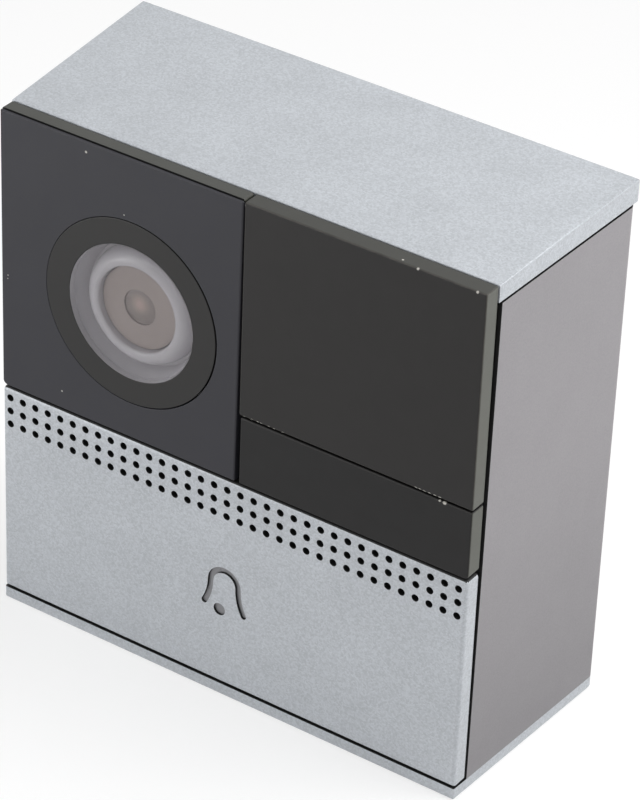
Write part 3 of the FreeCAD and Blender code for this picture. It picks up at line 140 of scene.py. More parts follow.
@dataclass(frozen=True)
class Finish:
    """A surface finish: a colour that varies softly, a grain that shows as fine bump, and a gloss."""

    name: str
    colour: str
    roughness: float
    metallic: float = 0.0
    ior: float = 1.5
    mottle_mm: float = 9.0
    mottle: float = 0.04
    grain_mm: float = 0.35
    grain_depth: float = 0.02
    grain_strength: float = 0.5
    # Rubbed wear on the rounded edges, partly painted highlight: its strength, blotch size and colour
    edge_wear_highlight: float = 0.0
    edge_wear_highlight_mm: float = 2.5
    edge_wear_highlight_colour: str = "#8f8a82"
    marks: tuple[Chip, ...] = ()
    mark_colour: str = "#c4c1ba"
    # Painted sheen on the faces that look sideways and up: its colour, and its strength on each
    sheen_colour: str = "#8c8c89"
    side_sheen: float = 0.0
    top_sheen: float = 0.0
    # Painted shade towards the foot: the tone at the foot, and the heights in millimetres over which it
    # fades
    foot_shade: float = 1.0
    foot_shade_mm: Pair = (5.0, 60.0)

    def material(self) -> bpy.types.Material:
        """Makes the material, or finds it if it has been made.

        Returns:
            The material.
        """
        known = bpy.data.materials.get(self.name)
        if known:
            return known
        made = bpy.data.materials.new(self.name)
        made.use_nodes = True
        tree = made.node_tree
        tree.nodes.clear()
        place = add_node(tree, "ShaderNodeTexCoord").outputs["Object"]
        shader = add_node(tree, "ShaderNodeBsdfPrincipled", inputs={
            "Metallic": self.metallic, "IOR": self.ior})
        self.dress(tree, place, shader)
        out = add_node(tree, "ShaderNodeOutputMaterial")
        tree.links.new(shader.outputs["BSDF"], out.inputs["Surface"])
        return made

    def dress(self, tree: Tree, place: Socket, shader: Node) -> None:
        """Links colour, roughness and bump to the shader.

        Args:
            tree: The material's node tree.
            place: The object coordinates.
            shader: The principled shader.
        """
        colour = self.with_wear_and_painted_light(tree, place, self.mottled(tree, place, linear(self.colour)))
        tree.links.new(colour, shader.inputs["Base Color"])
        self.gloss(tree, place, shader)
        tree.links.new(self.grain(tree, place), shader.inputs["Normal"])

    def with_wear_and_painted_light(self, tree: Tree, place: Socket, colour: Socket) -> Socket:
        """The colour with painted shade at the foot, painted sheen, rubbed edges with painted highlight,
        and small chips over it.

        Args:
            tree: The material's node tree.
            place: The object coordinates.
            colour: The colour of the sound surface.

        Returns:
            The colour socket.
        """
        # Painted shade, darker towards the foot
        if self.foot_shade < 1.0:
            colour = self.shaded_towards_foot(tree, place, colour)
        layers = []
        if self.side_sheen:
            layers.append((self.painted_sheen(tree), self.sheen_colour))
        if self.edge_wear_highlight:
            layers.append((self.rubbed_and_highlit(tree, place), self.edge_wear_highlight_colour))
        if self.marks:
            layers.append((self.chipped(tree, place), self.mark_colour))
        for mask, top in layers:
            colour = add_node(tree, "ShaderNodeMix", {"data_type": "RGBA"}, {
                0: mask, 6: colour, 7: linear(top)}).outputs[2]
        return colour

    def shaded_towards_foot(self, tree: Tree, place: Socket, colour: Socket) -> Socket:
        """The colour, darker towards the foot, as painted shade.

        Args:
            tree: The material's node tree.
            place: The object coordinates.
            colour: The colour of the sound surface.

        Returns:
            The colour socket.
        """
        axes = add_node(tree, "ShaderNodeSeparateXYZ", inputs={0: place})
        level = add_node(tree, "ShaderNodeMapRange", inputs={
            "Value": axes.outputs["Z"], "From Min": self.foot_shade_mm[0] * MM,
            "From Max": self.foot_shade_mm[1] * MM, "To Min": self.foot_shade})
        return add_node(tree, "ShaderNodeVectorMath", {"operation": "SCALE"}, {
            0: colour, "Scale": level.outputs["Result"]}).outputs["Vector"]

    def leaning(self, tree: Tree) -> Node:
        """How squarely a face looks along each axis, from 0 to 1, apart as X, Y and Z.

        Args:
            tree: The material's node tree.

        Returns:
            The node whose outputs are X, Y and Z.
        """
        normal = add_node(tree, "ShaderNodeNewGeometry").outputs["Normal"]
        size = add_node(tree, "ShaderNodeVectorMath", {"operation": "ABSOLUTE"}, {0: normal})
        return add_node(tree, "ShaderNodeSeparateXYZ", inputs={0: size.outputs["Vector"]})

    def painted_sheen(self, tree: Tree) -> Socket:
        """A mask of the narrow faces that look sideways and up, lightened as painted sheen.

        Args:
            tree: The material's node tree.

        Returns:
            The mask's socket.
        """
        axes = self.leaning(tree)
        side, top = (
            add_node(tree, "ShaderNodeMapRange", inputs={
                "Value": axes.outputs[axis], "To Max": sheen, **SHEEN_LEAN}).outputs["Result"]
            for axis, sheen in (("X", self.side_sheen), ("Z", self.top_sheen))
        )
        return add_node(tree, "ShaderNodeMath", {"operation": "MAXIMUM"}, {
            0: side, 1: top}).outputs["Value"]

    def rubbed_and_highlit(self, tree: Tree, place: Socket) -> Socket:
        """A mask of the rounded edges, where the normal leans away from every axis: rubbed wear and painted
        highlight.

        Args:
            tree: The material's node tree.
            place: The object coordinates.

        Returns:
            The mask's socket.
        """
        axes = self.leaning(tree)
        widest = axes.outputs["X"]
        for axis in ("Y", "Z"):
            widest = add_node(tree, "ShaderNodeMath", {"operation": "MAXIMUM"}, {
                0: widest, 1: axes.outputs[axis]}).outputs["Value"]
        edge = add_node(tree, "ShaderNodeMapRange", inputs={
            "Value": widest, "To Max": self.edge_wear_highlight, **EDGE_LEAN})
        blotches = add_node(tree, "ShaderNodeTexNoise", inputs={
            "Vector": place, "Scale": 1 / (self.edge_wear_highlight_mm * MM), "Detail": 3.0})
        patchy = add_node(tree, "ShaderNodeMapRange", inputs={"Value": blotches.outputs["Fac"], **PATCHES})
        return add_node(tree, "ShaderNodeMath", {"operation": "MULTIPLY"}, {
            0: edge.outputs["Result"], 1: patchy.outputs["Result"]}).outputs["Value"]

    def chipped(self, tree: Tree, place: Socket) -> Socket:
        """A mask of the small chips and specks, given as place and radius in millimetres.

        Args:
            tree: The material's node tree.
            place: The object coordinates.

        Returns:
            The mask's socket.
        """
        mask = None
        for x, y, z, radius in self.marks:
            away = add_node(tree, "ShaderNodeVectorMath", {"operation": "DISTANCE"}, {
                0: place, 1: (x * MM, y * MM, z * MM)})
            spot = add_node(tree, "ShaderNodeMapRange", inputs={
                "Value": away.outputs["Value"], "From Min": radius * MM,
                "From Max": radius * MM / 2}).outputs["Result"]
            mask = spot if mask is None else add_node(tree, "ShaderNodeMath", {
                "operation": "MAXIMUM"}, {0: mask, 1: spot}).outputs["Value"]
        return mask

    def mottled(self, tree: Tree, place: Socket, base: tuple | Socket) -> Socket:
        """The colour made a little lighter and darker in soft blotches.

        Args:
            tree: The material's node tree.
            place: The object coordinates.
            base: A linear colour or a colour socket.

        Returns:
            The colour socket.
        """
        blotches = add_node(tree, "ShaderNodeTexNoise", inputs={
            "Vector": place, "Scale": 1 / (self.mottle_mm * MM), "Detail": 3.0})
        level = add_node(tree, "ShaderNodeMapRange", inputs={
            "Value": blotches.outputs["Fac"], "To Min": 1 - self.mottle, "To Max": 1 + self.mottle,
            **NOISE_SPAN})
        mixed = add_node(tree, "ShaderNodeVectorMath", {"operation": "SCALE"}, {
            0: base[:3] if isinstance(base, tuple) else base, "Scale": level.outputs["Result"]})
        return mixed.outputs["Vector"]

    def gloss(self, tree: Tree, place: Socket, shader: Node) -> None:
        """Lets the roughness drift by a few hundredths, as handling leaves it.

        Args:
            tree: The material's node tree.
            place: The object coordinates.
            shader: The principled shader.
        """
        blotches = add_node(tree, "ShaderNodeTexNoise", inputs={
            "Vector": place, "Scale": 2 / (self.mottle_mm * MM), "Detail": 3.0})
        level = add_node(tree, "ShaderNodeMapRange", inputs={
            "Value": blotches.outputs["Fac"], "To Min": self.roughness - GLOSS_DRIFT,
            "To Max": self.roughness + GLOSS_DRIFT, **NOISE_SPAN})
        tree.links.new(level.outputs["Result"], shader.inputs["Roughness"])

    def grain(self, tree: Tree, place: Socket) -> Socket:
        """The fine bump of the surface.

        Args:
            tree: The material's node tree.
            place: The object coordinates.

        Returns:
            The normal's socket.
        """
        grit = add_node(tree, "ShaderNodeTexNoise", inputs={
            "Vector": place, "Scale": 1 / (self.grain_mm * MM), "Detail": 2.0})
        return add_node(tree, "ShaderNodeBump", inputs={
            "Strength": self.grain_strength, "Distance": self.grain_depth * MM,
            "Height": grit.outputs["Fac"]}).outputs["Normal"]


@dataclass(frozen=True)
class FlakePaint(Finish):
    """Silver paint with metal flakes in it: each flake is a little lighter or darker than the next."""

    flake_mm: float = 0.22
    sparkle: float = 0.09

    def dress(self, tree: Tree, place: Socket, shader: Node) -> None:
        """Links flakes, cloudiness, gloss and orange peel to the shader.

        Args:
            tree: The material's node tree.
            place: The object coordinates.
            shader: The principled shader.
        """
        flakes = add_node(tree, "ShaderNodeTexVoronoi", inputs={
            "Vector": place, "Scale": 1 / (self.flake_mm * MM)})
        shade = add_node(tree, "ShaderNodeSeparateColor", inputs={"Color": flakes.outputs["Color"]})
        level = add_node(tree, "ShaderNodeMapRange", inputs={
            "Value": shade.outputs["Red"], "To Min": 1 - self.sparkle, "To Max": 1 + self.sparkle})
        speckled = add_node(tree, "ShaderNodeVectorMath", {"operation": "SCALE"}, {
            0: linear(self.colour)[:3], "Scale": level.outputs["Result"]})
        colour = self.with_wear_and_painted_light(tree, place, self.mottled(tree, place, speckled.outputs["Vector"]))
        tree.links.new(colour, shader.inputs["Base Color"])
        self.gloss(tree, place, shader)
        tree.links.new(self.grain(tree, place), shader.inputs["Normal"])


@dataclass(frozen=True)
class CoveredBoard(Finish):
    """A circuit board: green lacquer over copper tracks, with tinned holes."""

    track_mm: float = 1.6
    via_mm: float = 3.2
    track_edge: Pair = (0.42, 0.46)
    via_edge: Pair = (0.1, 0.13)
    grain_strength: float = 0.6
    lacquer_over_copper: str = "#2c7a4c"
    tin: str = "#c8c2ae"

    def dress(self, tree: Tree, place: Socket, shader: Node) -> None:
        """Links tracks and tinned holes to the shader.

        Args:
            tree: The material's node tree.
            place: The object coordinates.
            shader: The principled shader.
        """
        tracks = add_node(tree, "ShaderNodeTexVoronoi", {"distance": "CHEBYCHEV"}, {
            "Vector": place, "Scale": 1 / (self.track_mm * 2 * MM), "Randomness": 0.8})
        lines = add_node(tree, "ShaderNodeMapRange", inputs={
            "Value": tracks.outputs["Distance"], "From Min": self.track_edge[0],
            "From Max": self.track_edge[1]})
        lacquer = add_node(tree, "ShaderNodeMix", {"data_type": "RGBA"}, {
            0: lines.outputs["Result"], 6: linear(self.colour), 7: linear(self.lacquer_over_copper)})
        holes = add_node(tree, "ShaderNodeTexVoronoi", inputs={
            "Vector": place, "Scale": 1 / (self.via_mm * MM)})
        dots = add_node(tree, "ShaderNodeMapRange", inputs={
            "Value": holes.outputs["Distance"], "From Min": self.via_edge[0],
            "From Max": self.via_edge[1], "To Min": 1.0, "To Max": 0.0})
        tinned = add_node(tree, "ShaderNodeMix", {"data_type": "RGBA"}, {
            0: dots.outputs["Result"], 6: lacquer.outputs[2], 7: linear(self.tin)})
        tree.links.new(self.mottled(tree, place, tinned.outputs[2]), shader.inputs["Base Color"])
        self.gloss(tree, place, shader)
        bump = add_node(tree, "ShaderNodeBump", inputs={
            "Strength": self.grain_strength, "Distance": self.grain_depth * MM,
            "Height": lines.outputs["Result"]})
        tree.links.new(bump.outputs["Normal"], shader.inputs["Normal"])


@dataclass(frozen=True)
class WovenCloth(Finish):
    """Fine woven speaker cloth, drawn a little coarser than it is so that the weave shows."""

    thread_mm: float = 0.3
    grain_strength: float = 0.8

    def grain(self, tree: Tree, place: Socket) -> Socket:
        """Crossing threads as bump.

        Args:
            tree: The material's node tree.
            place: The object coordinates.

        Returns:
            The normal's socket.
        """
        waves = [
            add_node(tree, "ShaderNodeTexWave", {"bands_direction": way}, {
                "Vector": place, "Scale": 1 / (self.thread_mm * 2 * math.pi * MM)}).outputs["Fac"]
            for way in ("X", "Z")
        ]
        woven = add_node(tree, "ShaderNodeMath", {"operation": "MULTIPLY"}, {0: waves[0], 1: waves[1]})
        return add_node(tree, "ShaderNodeBump", inputs={
            "Strength": self.grain_strength, "Distance": self.grain_depth * MM,
            "Height": woven.outputs["Value"]}).outputs["Normal"]


@dataclass(frozen=True)
class BrushedMetal(Finish):
    """Metal with fine drawn lines along one axis."""

    stretch: Triple = (1.0, 1.0, 0.05)

    def grain(self, tree: Tree, place: Socket) -> Socket:
        """Long fine scratches as bump.

        Args:
            tree: The material's node tree.
            place: The object coordinates.

        Returns:
            The normal's socket.
        """
        drawn = add_node(tree, "ShaderNodeMapping", inputs={"Vector": place, "Scale": self.stretch})
        scratches = add_node(tree, "ShaderNodeTexNoise", inputs={
            "Vector": drawn.outputs["Vector"], "Scale": 1 / (self.grain_mm * MM), "Detail": 3.0})
        return add_node(tree, "ShaderNodeBump", inputs={
            "Strength": self.grain_strength, "Distance": self.grain_depth * MM,
            "Height": scratches.outputs["Fac"]}).outputs["Normal"]


@dataclass(frozen=True)
class HazyClear(Finish):
    """Clear acrylic with a haze of fine scratches: what lies behind shows through, paler."""

    cover: float = 0.4

    def dress(self, tree: Tree, place: Socket, shader: Node) -> None:
        """Sets the haze's colour, gloss and how much it covers."""
        super().dress(tree, place, shader)
        shader.inputs["Alpha"].default_value = self.cover


@dataclass(frozen=True)
class RoundLens(Finish):
    """Coated glass before a dark barrel, with a pale middle that is a painted reflection of the coating."""

    # Centre of the painted reflection in X and Z, near the lens's axis
    axis: Pair = (-21.45, 73.65)
    # Colour of the painted reflection, and the radius out to which it fills the middle
    middle: str = "#a8938a"
    glint_radius: float = 0.2
    rim_radius: float = 2.3

    def dress(self, tree: Tree, place: Socket, shader: Node) -> None:
        """Links the painted reflection in the middle and the darker rim to the shader.

        Args:
            tree: The material's node tree.
            place: The object coordinates.
            shader: The principled shader.
        """
        flat = add_node(tree, "ShaderNodeMapping", inputs={
            "Vector": place, "Location": (-self.axis[0] * MM, 0, -self.axis[1] * MM),
            "Scale": (1.0, 0.0, 1.0)})
        away = add_node(tree, "ShaderNodeVectorMath", {"operation": "LENGTH"}, {
            0: flat.outputs["Vector"]})
        mask = add_node(tree, "ShaderNodeMapRange", inputs={
            "Value": away.outputs["Value"], "From Min": self.rim_radius * MM,
            "From Max": self.glint_radius * MM})
        rings = add_node(tree, "ShaderNodeMix", {"data_type": "RGBA"}, {
            0: mask.outputs["Result"], 6: self.mottled(tree, place, linear(self.colour)),
            7: linear(self.middle)})
        tree.links.new(rings.outputs[2], shader.inputs["Base Color"])
        self.gloss(tree, place, shader)


class Palette:
    """Every finish of the door phone."""

    # ABS with silver flake paint: pale, satin, with a fine sparkle
    SILVER = FlakePaint("abs_silver_flake_paint", "#b4b8bd", 0.42, metallic=0.15, mottle=0.03,
                        sparkle=0.12, flake_mm=0.3)
    # The same plastic painted a warmer grey with a violet tinge, on the rear housing, darkened towards its
    # foot as painted shade
    GREY = FlakePaint("abs_grey_satin_paint", "#8a878a", 0.45, sparkle=0.05, mottle=0.02, foot_shade=0.8,
                      marks=((50.6, -13.36, 94.63, 0.22),), mark_colour="#c8c6c8")
    # ABS left black where the paint doesn't reach, inside; in the gaps, in the holes and on the front edges
    # the same black is painted shade
    BARE_AND_SHADE = Finish("abs_black_unpainted_and_shade", "#0b0b0b", 0.6, mottle=0.05, grain_depth=0.02)
    # Moulded black ABS of the camera's plate: matt and finely eroded, with a few pale specks
    BLACK = Finish("abs_black_fine_moulded", "#27272d", 0.5, ior=1.4, mottle=0.06, grain_depth=0.012,
                   marks=(
                       (-31.23, -21.95, 101.88, 0.3), (-36.51, -21.95, 51.12, 0.22),
                       (-23.03, -21.95, 92.4, 0.18), (-48.55, -21.95, 70.8, 0.16),
                       (-48.6, -21.95, 70.1, 0.14)))
    # The same moulded black ABS on the camera's frame, whose top shows as an olive strip of painted sheen,
    # as do its sides; its rubbed edges carry painted highlight
    FRAME_BLACK = Finish("abs_black_frame_moulded", "#222222", 0.5, ior=1.4, mottle=0.06,
                         grain_depth=0.012, edge_wear_highlight=0.1, side_sheen=0.36, top_sheen=0.13,
                         sheen_colour="#8d8f84")
    # Moulded black ABS, a shade warmer, on the two right-hand covers, chipped along their seam, with
    # painted sheen on their sides and top and painted highlight on their rubbed edges
    CAP_BLACK = Finish("abs_black_cap_moulded", "#151312", 0.5, ior=1.38, mottle=0.06,
                       grain_depth=0.012, edge_wear_highlight=0.15, side_sheen=0.36, top_sheen=0.12,
                       sheen_colour="#8d8f86", marks=(
                           (1.9, -21.95, 103.4, 0.3), (36.56, -21.9, 103.9, 0.3),
                           (48.1, -21.9, 103.8, 0.3), (33.15, -21.2, 104.0, 0.25),
                           (44.4, -21.95, 61.1, 0.4), (45.6, -21.95, 61.15, 0.2),
                           *((x, -21.95, 61.5, radius) for x, radius in (
                               (3.1, 0.36), (4.7, 0.38), (6.0, 0.42), (6.7, 0.37), (8.3, 0.38),
                               (9.4, 0.36), (11.2, 0.38), (38.6, 0.45), (39.4, 0.45),
                               (40.3, 0.45), (41.3, 0.45), (42.4, 0.45), (43.4, 0.45)))))
    # The same moulded black ABS on the narrow cover, which looks a shade darker, with painted sheen on its
    # sides and painted highlight on its rubbed edges
    STRIP_BLACK = Finish("abs_black_strip_moulded", "#0d0c0c", 0.52, ior=1.36, mottle=0.06,
                         grain_depth=0.012, edge_wear_highlight=0.04, side_sheen=0.36, sheen_colour="#8d8f86", marks=(
                             (43.4, -21.95, 61.1, 0.3), (44.4, -21.95, 61.05, 0.45)))
    # Black ABS out of a polished mould, on the ring round the camera
    RING = Finish("abs_black_ring_polished", "#191817", 0.42, ior=1.4, mottle=0.04, grain_depth=0.006)
    # Unseen black ABS of chassis and holders
    INNER_BLACK = Finish("abs_black_inner_moulded", "#0d0d0d", 0.55, grain_depth=0.02)
    # Polished acrylic window, rubbed slightly hazy
    WINDOW = HazyClear("acrylic_window_hazed", "#b0acaf", 0.25, grain_depth=0.0, cover=0.08)
    # Ground rim of the acrylic window, pale, with light caught in the acrylic painted into its colour
    WINDOW_RIM = Finish("acrylic_rim_ground", "#b4b2b6", 0.5, grain_depth=0.006)
    # White foam tape that seals the window
    FOAM = Finish("foam_tape_white", "#9a989c", 0.8, grain_depth=0.02)
    # Glossy pale paint on the funnel, which shows the softboxes along its crest
    SHROUD = Finish("abs_shroud_silver_painted", "#b6b4b9", 0.22, mottle=0.02, grain_depth=0.0)
    # Matt grey disc of the lens
    LENS_DISC = Finish("abs_lens_disc_matt", "#8e827d", 0.5, mottle=0.02, grain_depth=0.0)
    # Coated lens glass, brown from the dark barrel behind it, with a painted reflection in its middle
    LENS_GLASS = RoundLens("glass_lens_coated", "#6e635d", 0.35, ior=1.5, mottle=0.01)
    # Black anodised aluminium of the lens barrel
    BARREL = BrushedMetal("aluminium_barrel_black_anodised", "#3a3432", 0.35, metallic=1.0)
    # Silicone and EPDM seals: dead black and matt
    RUBBER = Finish("rubber_seal_black", "#141414", 0.75, mottle=0.08, grain_mm=0.6)
    # Smoked polycarbonate that lets the bell's light through
    BELL = Finish("polycarbonate_bell_smoked", "#828285", 0.3, mottle=0.02, grain_depth=0.004)
    # Polyester cloth behind the grille
    CLOTH = WovenCloth("polyester_speaker_cloth", "#050505", 0.9, grain_depth=0.05)
    # Pressed paper cone
    PAPER = Finish("paper_cone_pressed", "#1d1c1b", 0.85, mottle=0.15, grain_mm=0.8, grain_depth=0.05)
    # Nickel-plated steel screws and pins
    STEEL = BrushedMetal("steel_nickel_plated", "#b8b6b0", 0.28, metallic=1.0, grain_depth=0.004)
    # Bright rolled strip of the return spring
    SPRING = BrushedMetal("steel_spring_strip_rolled", "#a9a9ab", 0.25, metallic=1.0,
                          stretch=(0.05, 1.0, 1.0), grain_depth=0.004)
    # Black enamelled pressed steel of the speaker's basket
    BASKET = Finish("steel_basket_black_enamel", "#1a1a1b", 0.3, grain_mm=0.9, grain_depth=0.01)
    # Zinc-plated ferrite magnet cup
    MAGNET = Finish("steel_magnet_cup_zinc", "#9c9da0", 0.38, metallic=1.0, mottle=0.08)
    # Zinc-plated steel sheet of the wall bracket, with its cloudy passivation
    ZINC = Finish("steel_bracket_zinc_plated", "#a7a8a6", 0.4, metallic=1.0, mottle_mm=6.0,
                  mottle=0.12, grain_depth=0.008)
    # Drawn aluminium cans
    CAN = BrushedMetal("aluminium_can_drawn", "#c3c4c6", 0.3, metallic=1.0, grain_depth=0.004)
    # Glass-fibre circuit boards under green lacquer
    BOARD = CoveredBoard("epoxy_board_green_lacquer", "#1c5836", 0.35, grain_depth=0.035)
    # Moulded epoxy of chips and the switch
    EPOXY = Finish("epoxy_chip_black", "#1f1f20", 0.55, grain_mm=0.25)
    # Green polyamide of the terminal block
    TERMINAL = Finish("polyamide_terminal_green", "#2f8a4b", 0.4)
    # Ivory polyamide of the sockets
    SOCKET = Finish("polyamide_socket_ivory", "#ddd8c8", 0.45)
    # Amber polyimide film of the flat cable
    FILM = Finish("polyimide_film_amber", "#b0601c", 0.25, mottle=0.06)
    # Cast epoxy of the light
    LED = Finish("epoxy_led_clear", "#ece8d0", 0.2)


def keep_planes_flat(mesh: bpy.types.Mesh) -> None:
    """Marks the edges of large planes sharp, so that no rounding bends their shading.

    Args:
        mesh: The mesh, whose sharp edges are set already.
    """
    planes: dict[tuple[float, ...], list[bpy.types.MeshPolygon]] = {}
    for polygon in mesh.polygons:
        key = tuple(round(value, 3) for value in (*polygon.normal, polygon.normal.dot(polygon.center) / MM))
        planes.setdefault(key, []).append(polygon)
    for polygons in planes.values():
        if sum(polygon.area for polygon in polygons) > FLAT_AREA:
            for polygon in polygons:
                for corner in polygon.loop_indices:
                    mesh.edges[mesh.loops[corner].edge_index].use_edge_sharp = True


def finish_piece(bm: BMesh, name: str, finish: Finish, nodes: tuple[str, ...],
                 second: Finish | None = None, takes_second: FaceTest | None = None) -> Piece:
    """Turns a bmesh into a piece that stands for construction nodes.

    Args:
        bm: The shape, which is freed.
        name: The piece's name.
        finish: Its surface.
        nodes: The nodes that it stands for, the first of which gives its body.
        second: A second finish, for some of its faces.
        takes_second: Tells which faces these are.

    Returns:
        The object.
    """
    if second:
        for face in bm.faces:
            face.material_index = int(takes_second(face))
    mesh = bpy.data.meshes.new(name)
    bm.to_mesh(mesh)
    bm.free()
    mesh.materials.append(finish.material())
    if second:
        mesh.materials.append(second.material())
    mesh.shade_smooth()
    mesh.set_sharp_from_angle(angle=SMOOTH_ANGLE)
    keep_planes_flat(mesh)
    piece = bpy.data.objects.new(name, mesh)
    bpy.context.scene.collection.objects.link(piece)
    weighted = piece.modifiers.new("even_shading", "WEIGHTED_NORMAL")
    weighted.keep_sharp = True
    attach(piece, BODY_OF_NODE[nodes[0]])
    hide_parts(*nodes)
    log.info("%s: %d faces", name, len(mesh.polygons))
    return piece


def merged_copy(node: str) -> BMesh:
    """A copy of a construction node's mesh with its loose triangles joined to whole flat faces.

    Args:
        node: The node's name.

    Returns:
        The copy.
    """
    bm = bmesh.new()
    bm.from_mesh(frame["nodes"][node].data)
    bmesh.ops.remove_doubles(bm, verts=bm.verts, dist=MERGE)
    bmesh.ops.dissolve_limit(bm, angle_limit=FLAT_ANGLE, verts=bm.verts, edges=bm.edges)
    return bm


def split_large(bm: BMesh) -> BMesh:
    """Splits faces with more than four corners, which shade badly.

    Args:
        bm: The shape, changed in place.

    Returns:
        The same shape.
    """
    bmesh.ops.triangulate(bm, faces=[face for face in bm.faces if len(face.verts) > 4])
    return bm


def dress_node(node: str, finish: Finish) -> None:
    """Gives a construction node that stays its finish.

    Args:
        node: The node's name.
        finish: Its surface.
    """
    mesh = frame["nodes"][node].data
    mesh.materials.clear()
    mesh.materials.append(finish.material())
    log.info("%s keeps its construction mesh", node)


def smooth_node(node: str, finish: Finish, second: Finish | None = None,
                takes_second: FaceTest | None = None) -> Piece:
    """Replaces a construction node by a joined and smoothly shaded copy of it.

    Args:
        node: The construction node.
        finish: Its surface.
        second: A second finish, for some of its faces.
        takes_second: Tells which faces these are.

    Returns:
        The object.
    """
    return finish_piece(split_large(merged_copy(node)), f"{node}_finished", finish, (node,), second,
                        takes_second)


def ring_edges(bm: BMesh, radius: float, y: float, segments: int) -> list[bmesh.types.BMEdge]:
    """A ring of edges about the Y axis.

    Args:
        bm: The bmesh it goes in.
        radius: Its radius.
        y: Its place along the axis.
        segments: How many edges it has.

    Returns:
        The ring's edges.
    """
    turn = Matrix.Translation((0, y, 0)) @ Matrix.Rotation(math.radians(90), 4, "X")
    made = bmesh.ops.create_circle(bm, cap_ends=False, radius=radius, segments=segments, matrix=turn)
    return list({edge for vert in made["verts"] for edge in vert.link_edges})


def lofted(rings: list[tuple[float, float, int]], centre: Vector) -> BMesh:
    """Joins rings about an axis along Y to one closed solid.

    Args:
        rings: Radius, place along the axis and count of edges of each ring.
        centre: A point on the axis.

    Returns:
        The closed shape.
    """
    bm = bmesh.new()
    loops = [ring_edges(bm, *ring) for ring in rings]
    for near, away in zip(loops, loops[1:]):
        bmesh.ops.bridge_loops(bm, edges=near + away)
    for loop in (loops[0], loops[-1]):
        bmesh.ops.holes_fill(bm, edges=loop, sides=0)
    bmesh.ops.translate(bm, vec=(centre.x, 0, centre.z), verts=bm.verts)
    bmesh.ops.recalc_face_normals(bm, faces=bm.faces)
    return bm


def lathe(profile: list[Pair], centre: Vector, bevel: float = 0.0,
          segments: int = ROUND_SEGMENTS) -> BMesh:
    """Spins a closed outline about an axis along Y.

    Args:
        profile: Radius and depth of each corner, in order.
        centre: A point on the axis.
        bevel: Width of the rounding of the sharp rings, or 0 for none.
        segments: Steps of the spin.

    Returns:
        The closed shape.
    """
    bm = bmesh.new()
    verts = [bm.verts.new((centre.x + radius, y, centre.z)) for radius, y in profile]
    edges = [bm.edges.new((verts[i], verts[(i + 1) % len(verts)])) for i in range(len(verts))]
    bmesh.ops.spin(bm, geom=verts + edges, cent=centre, axis=(0, 1, 0), dvec=(0, 0, 0),
                   angle=math.tau, steps=segments, use_merge=True, use_duplicate=False)
    bmesh.ops.remove_doubles(bm, verts=bm.verts, dist=MERGE)
    bmesh.ops.recalc_face_normals(bm, faces=bm.faces)
    if bevel:
        sharp = [edge for edge in bm.edges
                 if len(edge.link_faces) == 2 and edge.calc_face_angle() > SMOOTH_ANGLE]
        bmesh.ops.bevel(bm, geom=sharp, offset=bevel, offset_type="OFFSET", profile=0.5,
                        segments=ROUNDING_SEGMENTS, affect="EDGES", clamp_overlap=True, material=-1)
    return bm


def quarter_round(peak: Pair, foot: Pair, steps: int) -> list[Pair]:
    """Points of a quarter of an ellipse that leaves its peak level and meets its foot upright.

    Args:
        peak: Radius and depth of the peak.
        foot: Radius and depth of the foot.
        steps: Spans between the two.

    Returns:
        The points from peak to foot, both with them.
    """
    points = []
    for i in range(steps + 1):
        turn = math.pi / 2 * i / steps
        points.append((peak[0] + (foot[0] - peak[0]) * math.sin(turn),
                       peak[1] + (foot[1] - peak[1]) * (1 - math.cos(turn))))
    return points


def solids_of(node: str) -> list[tuple[Vector, Vector]]:
    """The corners of each separate solid of a construction node.

    Args:
        node: The node's name.

    Returns:
        Lowest and highest corner of each solid.
    """
    bm = bmesh.new()
    bm.from_mesh(frame["nodes"][node].data)
    bmesh.ops.remove_doubles(bm, verts=bm.verts, dist=MERGE)
    left = set(bm.verts)
    found = []
    while left:
        stack = [left.pop()]
        points = []
        while stack:
            vert = stack.pop()
            points.append(vert.co.copy())
            for edge in vert.link_edges:
                other = edge.other_vert(vert)
                if other in left:
                    left.remove(other)
                    stack.append(other)
        low = Vector([min(p[axis] for p in points) for axis in range(3)])
        high = Vector([max(p[axis] for p in points) for axis in range(3)])
        found.append((low, high))
    bm.free()
    return sorted(found, key=lambda pair: tuple(pair[0]))


